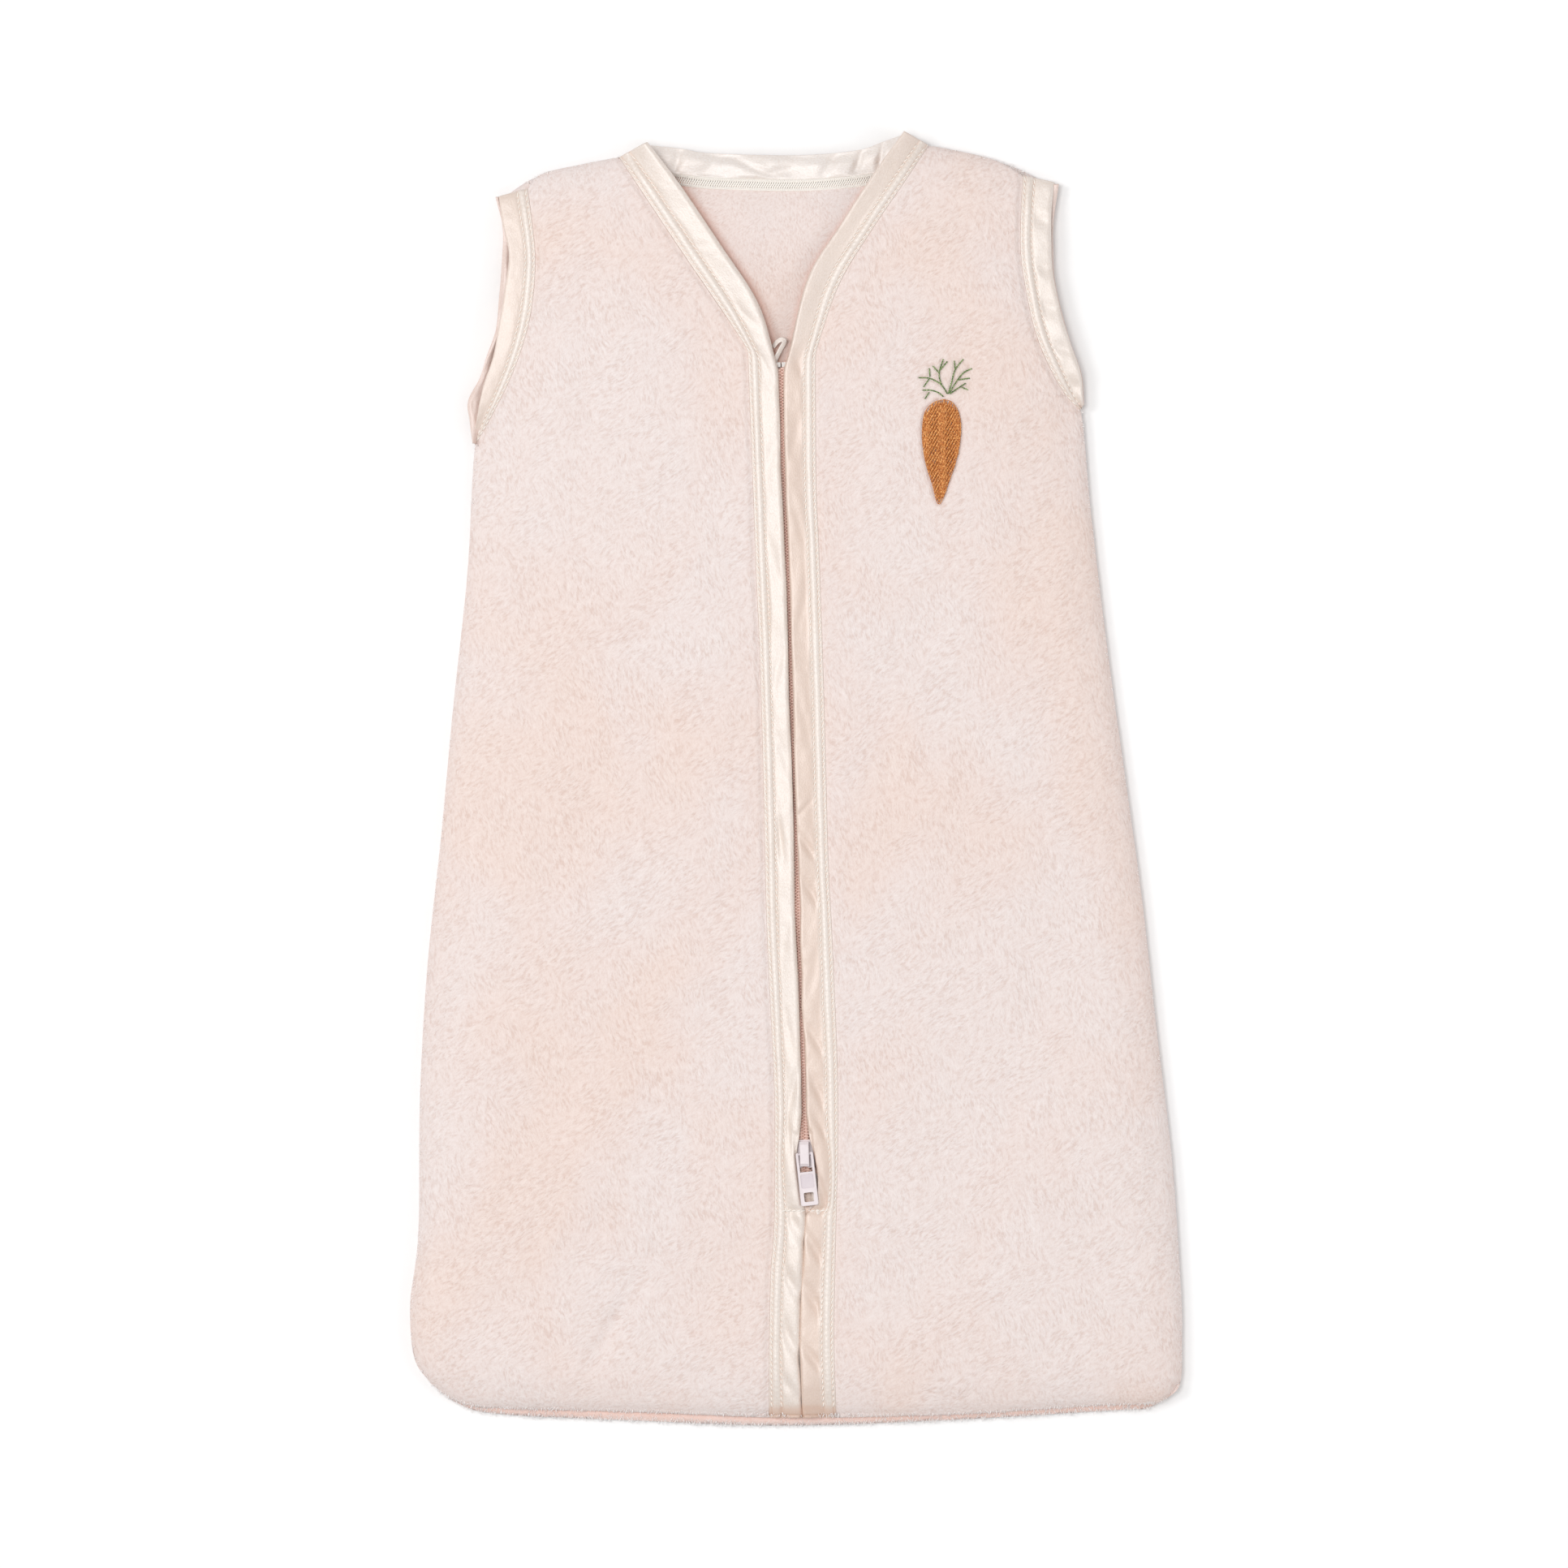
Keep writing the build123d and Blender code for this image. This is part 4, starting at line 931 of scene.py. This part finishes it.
def bindings():
    """The satin round the V neck, down the zip and round the armholes, with its rows of stitches."""
    left, right = front_band(-1), front_band(1)
    arm_left, arm_right = [
        [dense(edge, 300) for edge in edges]
        for edges in ((LEFT_ARM_PLUSH, LEFT_ARM_FOLD), (RIGHT_ARM_PLUSH, RIGHT_ARM_FOLD))
    ]
    # The right front and the left armhole carry the most painted shade on their flaps.
    strips = {
        "front_satin_left": FrontBand(*left, 100, 2.3, 0.84, 0.55, creases=LEFT_CREASES, painted_flap_shade=0.05),
        "front_satin_right": FrontBand(*right, 110, 2.3, 0.9, 0.6, creases=RIGHT_CREASES, painted_flap_shade=0.50),
        "armhole_satin_left": Strip(*arm_left, 80, 1.6, 0.93, 0.35, scallop=0.6, painted_flap_shade=0.30),
        "armhole_satin_right": Strip(*arm_right, 90, 2.2, 0.86, 0.55, scallop=0.8, creases=ARM_CREASES),
    }
    replaced = [
        ("placket", "left", "neck"), ("placket", "right"), ("armhole", "left"), ("armhole", "right"),
    ]
    for (name, strip), (edge, side, *more) in zip(strips.items(), replaced):
        nodes = [f"{edge}_binding_{side}"] + [f"{part}_binding" for part in more]
        finish_piece(make_strip(name, strip, SATIN, 0.75), "satin", *nodes)
    for (name, strip), (edge, side, *more) in zip(strips.items(), replaced):
        nodes = [f"{edge}_stitching_{side}"] + [f"{part}_stitching" for part in more]
        paths = [stitch_paths(strip, row, 0.004, 0.994) for row in (ROW_ONE, ROW_TWO)]
        sew(name.replace("satin", "threads"), np.concatenate(paths), STITCH_RADIUS, nodes)
    return strips


def inner_bindings():
    """The halves of the bindings on the back: behind the neck and round the armholes."""
    arm_l, arm_r = np.array(LEFT_ARM_BACK), np.array(RIGHT_ARM_BACK)
    widths = np.array([6, 11, 13, 13, 12, 10, 8, 5, 1.5])[:, None] * (1, 0)

    def strip(outer, fold, seed, puff, crest, wave, **more):
        edges = dense(outer, 300), dense(fold, 300)
        return Strip(*edges, seed, puff, crest, wave, base=back_level, rows=False, **more)

    strips = {
        "neck_satin_back": strip(
            BACK_NECK_STITCH, BACK_NECK_TOP, 120, 1.4, 0.55, 1.0, creases=NECK_CREASES
        ),
        "armhole_satin_left_back": strip(arm_l + widths, arm_l, 130, 1.9, 0.75, 2.1, scallop=2.2),
        "armhole_satin_right_back": strip(
            arm_r - widths[:len(arm_r)], arm_r, 140, 1.2, 0.8, 0.8, scallop=0.6
        ),
    }
    for name, made in strips.items():
        mat = SATIN_NECK_LIT if name == "neck_satin_back" else SATIN_SHADE
        finish_piece(make_strip(name, made, mat, 1.3), "satin")
    return strips


def coverstitch(neck):
    """Looper threads that cross back and forth between two rows of chain below the back neck."""
    pitch, half, below = 2.2, 2.1, 2.3
    t = np.linspace(0.05, 0.945, 1000)
    s = t * neck.length
    x, y = neck.plan(t, np.zeros(t.shape))
    z = back_level(x, y) + 0.3
    paths, sizes = [], []
    for phase in (0, math.pi):
        angle = 2 * math.pi * s / pitch + phase
        across = y - below + half * np.sin(angle)
        paths.append(xyz(x + 0.5 * np.sin(2 * angle), across, z + 0.25 * np.cos(angle)))
        sizes.append(0.40)
    for row in (-half, half):
        for phase in (0, math.pi):
            angle = 2 * math.pi * s / (pitch * 0.8) + phase
            across = y - below + row + 0.42 * np.sin(angle)
            paths.append(xyz(x, across, z + 0.4 + 0.22 * np.cos(angle)))
            sizes.append(0.36)
    sew("neck_looper", paths, sizes, ["neck_back_coverstitch"], sides=5)


def zip_frame(x, y, z):
    """Points given across, along and above the zip."""
    c, s = math.cos(ZIP_TILT), math.sin(ZIP_TILT)
    return xyz(ZIP_FOOT[0] + x * c - y * s, ZIP_FOOT[1] + x * s + y * c, z)


def zip_coils():
    """The two coils of the chain, half a turn out of step, each on a cord along its tape."""
    pitch, wire, steps = 1.42, 0.42, 12
    start = 14 - ZIP_TAIL
    turns = int((ZIP_LENGTH - start) / pitch)
    a = np.arange(turns * steps + 1) * 2 * math.pi / steps
    for side, name in SIDES:
        along = start + (a / (2 * math.pi) + (0.5 if side > 0 else 0)) * pitch
        across = side * (1.42 + 1.72 * np.cos(a))
        path = zip_frame(across, along, CHAIN_Z + 0.95 * np.sin(a))
        obj = tubes(f"zip_chain_{name}", [path], wire, COIL, taper=False)
        finish_piece(obj, "zip_coil", f"zip_coil_{name}")
        core = zip_frame(side * 1.35, along[::steps], CHAIN_Z - 0.1)
        finish_piece(tubes(f"zip_core_{name}", [core], 0.95, TAPE, sides=8, taper=False), "zip_tape")


def ribbon(name, path, lean, tall, thick, mat):
    """A thin closed ribbon on edge along a path; lean tips it outwards."""
    line = dense(path, 60)
    side = np.pad(normals(line), ((0, 0), (0, 1)))
    v = np.linspace(0, 1, 9)[None, :, None]
    face = line[:, None] + v * tall * (np.array([0, 0, math.cos(lean)]) + side[:, None] * math.sin(lean))
    shell = np.concatenate([face, face[:, ::-1] - side[:, None] * thick], axis=1)
    obj = swept(name, shell, mat)
    mark(obj, "run", shell * MM)
    return obj


def zip_ends():
    """The folded tape end that loops out of the top of the zip, and the satin beneath the pull."""
    loop = [(-9.3, 194.2, 13.8), (-8.2, 197.2, 14.4), (-6.3, 200.8, 15.0), (-4.6, 203.9, 15.4),
            (-4.5, 205.8, 15.5), (-6.6, 206.7, 15.5), (-9.0, 205.6, 15.2), (-11.4, 202.8, 14.0)]
    obj = ribbon("zip_tape_loop", loop, 0.95, 2.4, 0.25, LOOP)
    finish_piece(obj, "zip_tape", "zip_top_guard")
    c = zip_line(np.array(-190.0))
    x, y = np.meshgrid(np.linspace(-4.5, 9.5, 40) + c, np.linspace(-203.5, -184.5, 50))
    fold = 1.6 * bump(x + 0.2 * (y + 194), c + 3.9, 1.4) + 0.7 * bump(x - 0.2 * (y + 190), c - 1.5, 1.4)
    top = 14.4 + 1.3 * smooth((-190 - y) / 10) + fold + 0.35 * noise(x, y, 3.5, 61)
    grid = xyz(x, y, top)
    obj = slab("placket_end_satin", grid, grid - (0, 0, 0.8), SATIN, step=1)
    mark(obj, "run", np.tile(grid.reshape(-1, 3), (2, 1)) * MM)
    # Painted shade: a brown band on the satin beneath the pull, along the zip's line.
    mark(obj, "painted_satin_shade", np.tile(0.8 * bump(x, c + 0.9, 1.6).ravel(), 2))
    finish_piece(obj, "satin")


def zip_tapes():
    """The woven tapes that carry the coils."""
    for side, name in SIDES:
        across, along = np.meshgrid(np.linspace(1.1, 15.6, 15), np.linspace(-ZIP_TAIL, ZIP_LENGTH + 3, 500))
        top = zip_frame(side * across, along, TAPE_Z + TAPE_THICK + 0.1 * noise(along, across, 14, 51))
        top = top[:, ::side]
        obj = slab(f"zip_woven_{name}", top, top - (0, 0, TAPE_THICK), TAPE, step=1)
        finish_piece(obj, "zip_tape", f"zip_tape_{name}")


def overlock(name, line, node_name):
    """An overlocked seam allowance: a needle thread and two loopers that cross over it."""
    step, pitch, height = 0.35, 2.6, 5.5
    line = np.array(line) * (1 - SEAM_INSET / HALF_WIDTH, 1 - SEAM_INSET / HALF_LENGTH)
    line = dense(line, int(run_along(line)[-1] / step))
    side = normals(line)
    s = np.arange(len(line)) * step
    paths = []
    for phase, swing in ((0, 1.4), (math.pi, 1.4), (0, 0.05)):
        angle = 2 * math.pi * s / pitch + phase
        plan = line + side * (swing * np.sin(angle))[:, None]
        paths.append(np.column_stack([plan, height + 0.35 * np.cos(angle)]))
    sew(name, paths, 0.24, [node_name], sides=4)


def hidden_pieces():
    """The seams inside the bag, and the patch behind the motif."""
    overlock("side_overlock_left", LEFT_SIDE[3:], "side_seam_left")
    overlock("side_overlock_right", RIGHT_SIDE[3:], "side_seam_right")
    overlock("bottom_overlock", LEFT_SIDE[2:0:-1] + BACK_HEM + RIGHT_SIDE[1:3], "bottom_seam")
    overlock("shoulder_overlock_left", SHOULDER_LEFT[1:4], "shoulder_seam_left")
    overlock("shoulder_overlock_right", SHOULDER_RIGHT[1:4], "shoulder_seam_right")
    x, y = np.meshgrid(np.linspace(49.5, 87.5, 39), np.linspace(122, 200, 79))
    top = xyz(x, y, seat(x, y) - FRONT_THICK - 0.3)
    backing = slab("motif_backing", top, top - (0, 0, 0.4), BACKING, step=1)
    finish_piece(backing, "backing", "embroidery_backing")


def zip_tack(bands):
    """The bar of stitches across both flaps just below the slider."""
    y, paths = TACK_Y, []
    for name, (x0, x1) in {"front_satin_left": (-6.7, 4.3), "front_satin_right": (4.6, 14.3)}.items():
        band = bands[name]
        t = np.interp(-y, -band.fold[:, 1], band.t)
        (outer, _), (fold, _) = band.plan(t, 0.0), band.plan(t, 1.0)
        for x in np.arange(x0, x1 - 1.5, 2.3):
            run = np.linspace(x, x + 2.1, 6)
            v = np.clip((run - outer) / (fold - outer), 0, 1)
            path = band.at(np.full(6, t), v)
            path[:, 1] += np.linspace(-0.25, 0.25, 6)
            path[:, 2] += np.array([-0.1, 0.2, 0.3, 0.3, 0.2, -0.1])
            paths.append(path)
    sew("zip_tack_threads", paths, 0.3, ["zip_end_tack"])


def fringe():
    """Tips of the pile that stand out past the seams at the shoulders, sides and hem."""
    random = np.random.RandomState(11)
    edges = [
        (dense(SHOULDER_LEFT[:4], 300), 5.0, 0.6, 220), (dense(SHOULDER_RIGHT[1:], 300), 5.0, 0.6, 220),
        (dense(FRONT_HEM, 900), 5.2, 0.6, 3400), (dense(BACK_HEM, 900), 2.4, 0.65, 1600),
        (dense(LEFT_SIDE, 900), 5.5, 0.4, 1500), (dense(RIGHT_SIDE, 900), 5.5, 0.4, 1500),
    ]
    paths, run = [], np.linspace(0, 1, 4)
    for line, height, length, count in edges:
        k = random.randint(1, len(line) - 1, count)
        along = line[k + 1] - line[k - 1]
        along /= np.linalg.norm(along, axis=1, keepdims=True)
        out = np.stack([along[:, 1], -along[:, 0]], axis=1)
        out *= np.sign(np.einsum("ij,ij->i", out, line[k] - (0, -10)))[:, None]
        start = line[k] - out * random.uniform(0.5, 3.2, (count, 1))
        lean = along * random.uniform(-0.9, 0.9, (count, 1)) + (0, -0.25)
        reach = length * random.uniform(1.6, 3.2, (count, 1))
        z = height + random.uniform(-1.5, 2.0, count)
        plan = start[:, None] + (out + lean)[:, None] * reach[:, None] * run[None, :, None]
        droop = z[:, None] + 0.6 * np.sin(math.pi * run)[None] - 0.9 * run[None] ** 2
        paths.append(np.concatenate([plan, droop[..., None]], axis=2))
    finish_piece(tubes("plush_fringe", np.concatenate(paths), 0.18, TIPS, sides=3, point=True), "plush")


def fill_stitches():
    """Rows of long upright stitches inside the carrot, in two crossing layers, then its outline."""
    random = np.random.RandomState(7)
    long, starts, ends, layers = 2.5, [], [], []
    for layer, (spacing, turn) in enumerate(((0.42, 0.0), (0.5, 0.22))):
        for k, x in enumerate(np.arange(58, 79, spacing)):
            y = np.arange(127 + (k % 3) * long / 3, 179, long)
            across = x + random.uniform(-0.12, 0.12, len(y))
            starts.append(np.stack([across, y], axis=1))
            ends.append(np.stack([across + turn * long * layer, y + long * 0.98], axis=1))
            layers.append(np.full(len(y), 0.24 * layer))
    a, b, up = np.vstack(starts), np.vstack(ends), np.concatenate(layers)
    keep = carrot_inside(a[:, 0], a[:, 1]) & carrot_inside(b[:, 0], b[:, 1])
    a, b, up = a[keep], b[keep], up[keep]
    line = dense(CARROT + CARROT[:1], 110)
    line = line + (line.mean(axis=0) - line) * 0.015
    a, b = np.vstack([a, line[:-1]]), np.vstack([b, line[1:]])
    up = np.concatenate([up, np.full(len(line) - 1, 0.2)])
    run = np.linspace(0, 1, 5)[None, :, None]
    plan = a[:, None] * (1 - run) + b[:, None] * run
    height = up[:, None] + np.array([-0.1, 0.28, 0.36, 0.28, -0.1])
    return np.concatenate([plan, height[..., None]], axis=2)


def leaf_stitches():
    """Overlapping stem stitches along each leaf, in two twisted strands."""
    stitches = []
    for branch in LEAVES:
        line = dense(branch, max(4, int(run_along(branch)[-1] / 1.1)))
        for a, b in zip(line[:-1], line[1:]):
            d = (b - a) / np.linalg.norm(b - a)
            n = np.array([-d[1], d[0]])
            for offset in (-0.16, 0.16):
                run = np.linspace(-0.15, 1.15, 5)[:, None]
                p = a + (b - a) * run + n * offset * np.cos(math.pi * run)
                stitches.append(np.column_stack([p, [0.0, 0.25, 0.32, 0.25, 0.0]]))
    return np.array(stitches)


def embroidery():
    """The carrot's root in fill stitch and its leaves in stem stitch, laid on the pressed pile."""
    root = fill_stitches()
    root[..., 2] += seat(root[..., 0], root[..., 1]) + PILE * 0.95
    finish_piece(tubes("carrot_root", root, 0.26, ROOT_THREAD, sides=5), "root_thread", "embroidery_root")
    leaves = leaf_stitches()
    leaves[..., 2] += seat(leaves[..., 0], leaves[..., 1]) + PILE + 0.25
    threads = tubes("carrot_leaves", leaves, 0.23, LEAF_THREAD, sides=5)
    finish_piece(threads, "leaf_thread", "embroidery_leaves")


def keep_cad(nodes, mat):
    """Gives its material to each CAD node that is seen as it is."""
    for name in nodes:
        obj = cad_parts[name]
        obj.data.materials.clear()
        obj.data.materials.append(mat)


def stage_and_camera():
    """A white floor and world, three soft lamps, and a long lens straight above."""
    size = 6000.0
    corners = [(-size, -size, 0), (size, -size, 0), (size, size, 0), (-size, size, 0)]
    mat, _, _ = material("floor", (0.97, 0.97, 0.97), 0.9, Specular_IOR_Level=0.1)
    floor = add_mesh("floor", corners, [(0, 1, 2, 3)], mat)
    floor.location.z = -0.0002

    world = bpy.data.worlds.new("studio")
    bpy.context.scene.world = world
    world.use_nodes = True
    sky = world.node_tree.nodes["Background"]
    sky.inputs["Color"].default_value = (1, 1, 1, 1)
    sky.inputs["Strength"].default_value = 0.545

    def lamp(name, place, width, power, colour=(1, 1, 1)):
        data = bpy.data.lights.new(name, "AREA")
        data.shape, data.size, data.energy, data.color = "DISK", width, power, colour
        obj = add_object(name, data)
        obj.location = place
        obj.rotation_mode = "QUATERNION"
        to_bag = -obj.location.normalized()
        obj.rotation_quaternion = to_bag.to_track_quat("-Z", "Y")

    lamp("key", (-1.5, 0.55, 2.1), 0.9, 15)
    lamp("top", (-0.6, 0.22, 3.1), 1.0, 32)
    lamp("fill", (1.9, -0.5, 1.6), 1.2, 8, (0.98, 0.99, 1.0))

    cam_data = bpy.data.cameras.new("camera")
    cam_data.lens, cam_data.sensor_width = 180, 36
    frame_width, cloth = 0.73416, 0.012  # what the view takes in at the height of the cloth
    cam_data.clip_end = 50
    cam = add_object("camera", cam_data)
    cam.location = (-0.0055, -0.0021, cloth + frame_width * cam_data.lens / cam_data.sensor_width)
    bpy.context.scene.camera = cam
    bpy.context.scene.view_settings.view_transform = "Standard"


stage_and_camera()
front_panels()
back_panel()
front_strips = bindings()
back_strips = inner_bindings()
coverstitch(back_strips["neck_satin_back"])
zip_coils()
zip_tapes()
zip_ends()
zip_tack(front_strips)
fringe()
embroidery()
hidden_pieces()

keep_cad(["zip_slider_body", "zip_slider_crown", "zip_lock_spring", "zip_pull"], ENAMEL)
keep_cad(["zip_top_stops", "zip_bottom_stop"], PLASTIC)
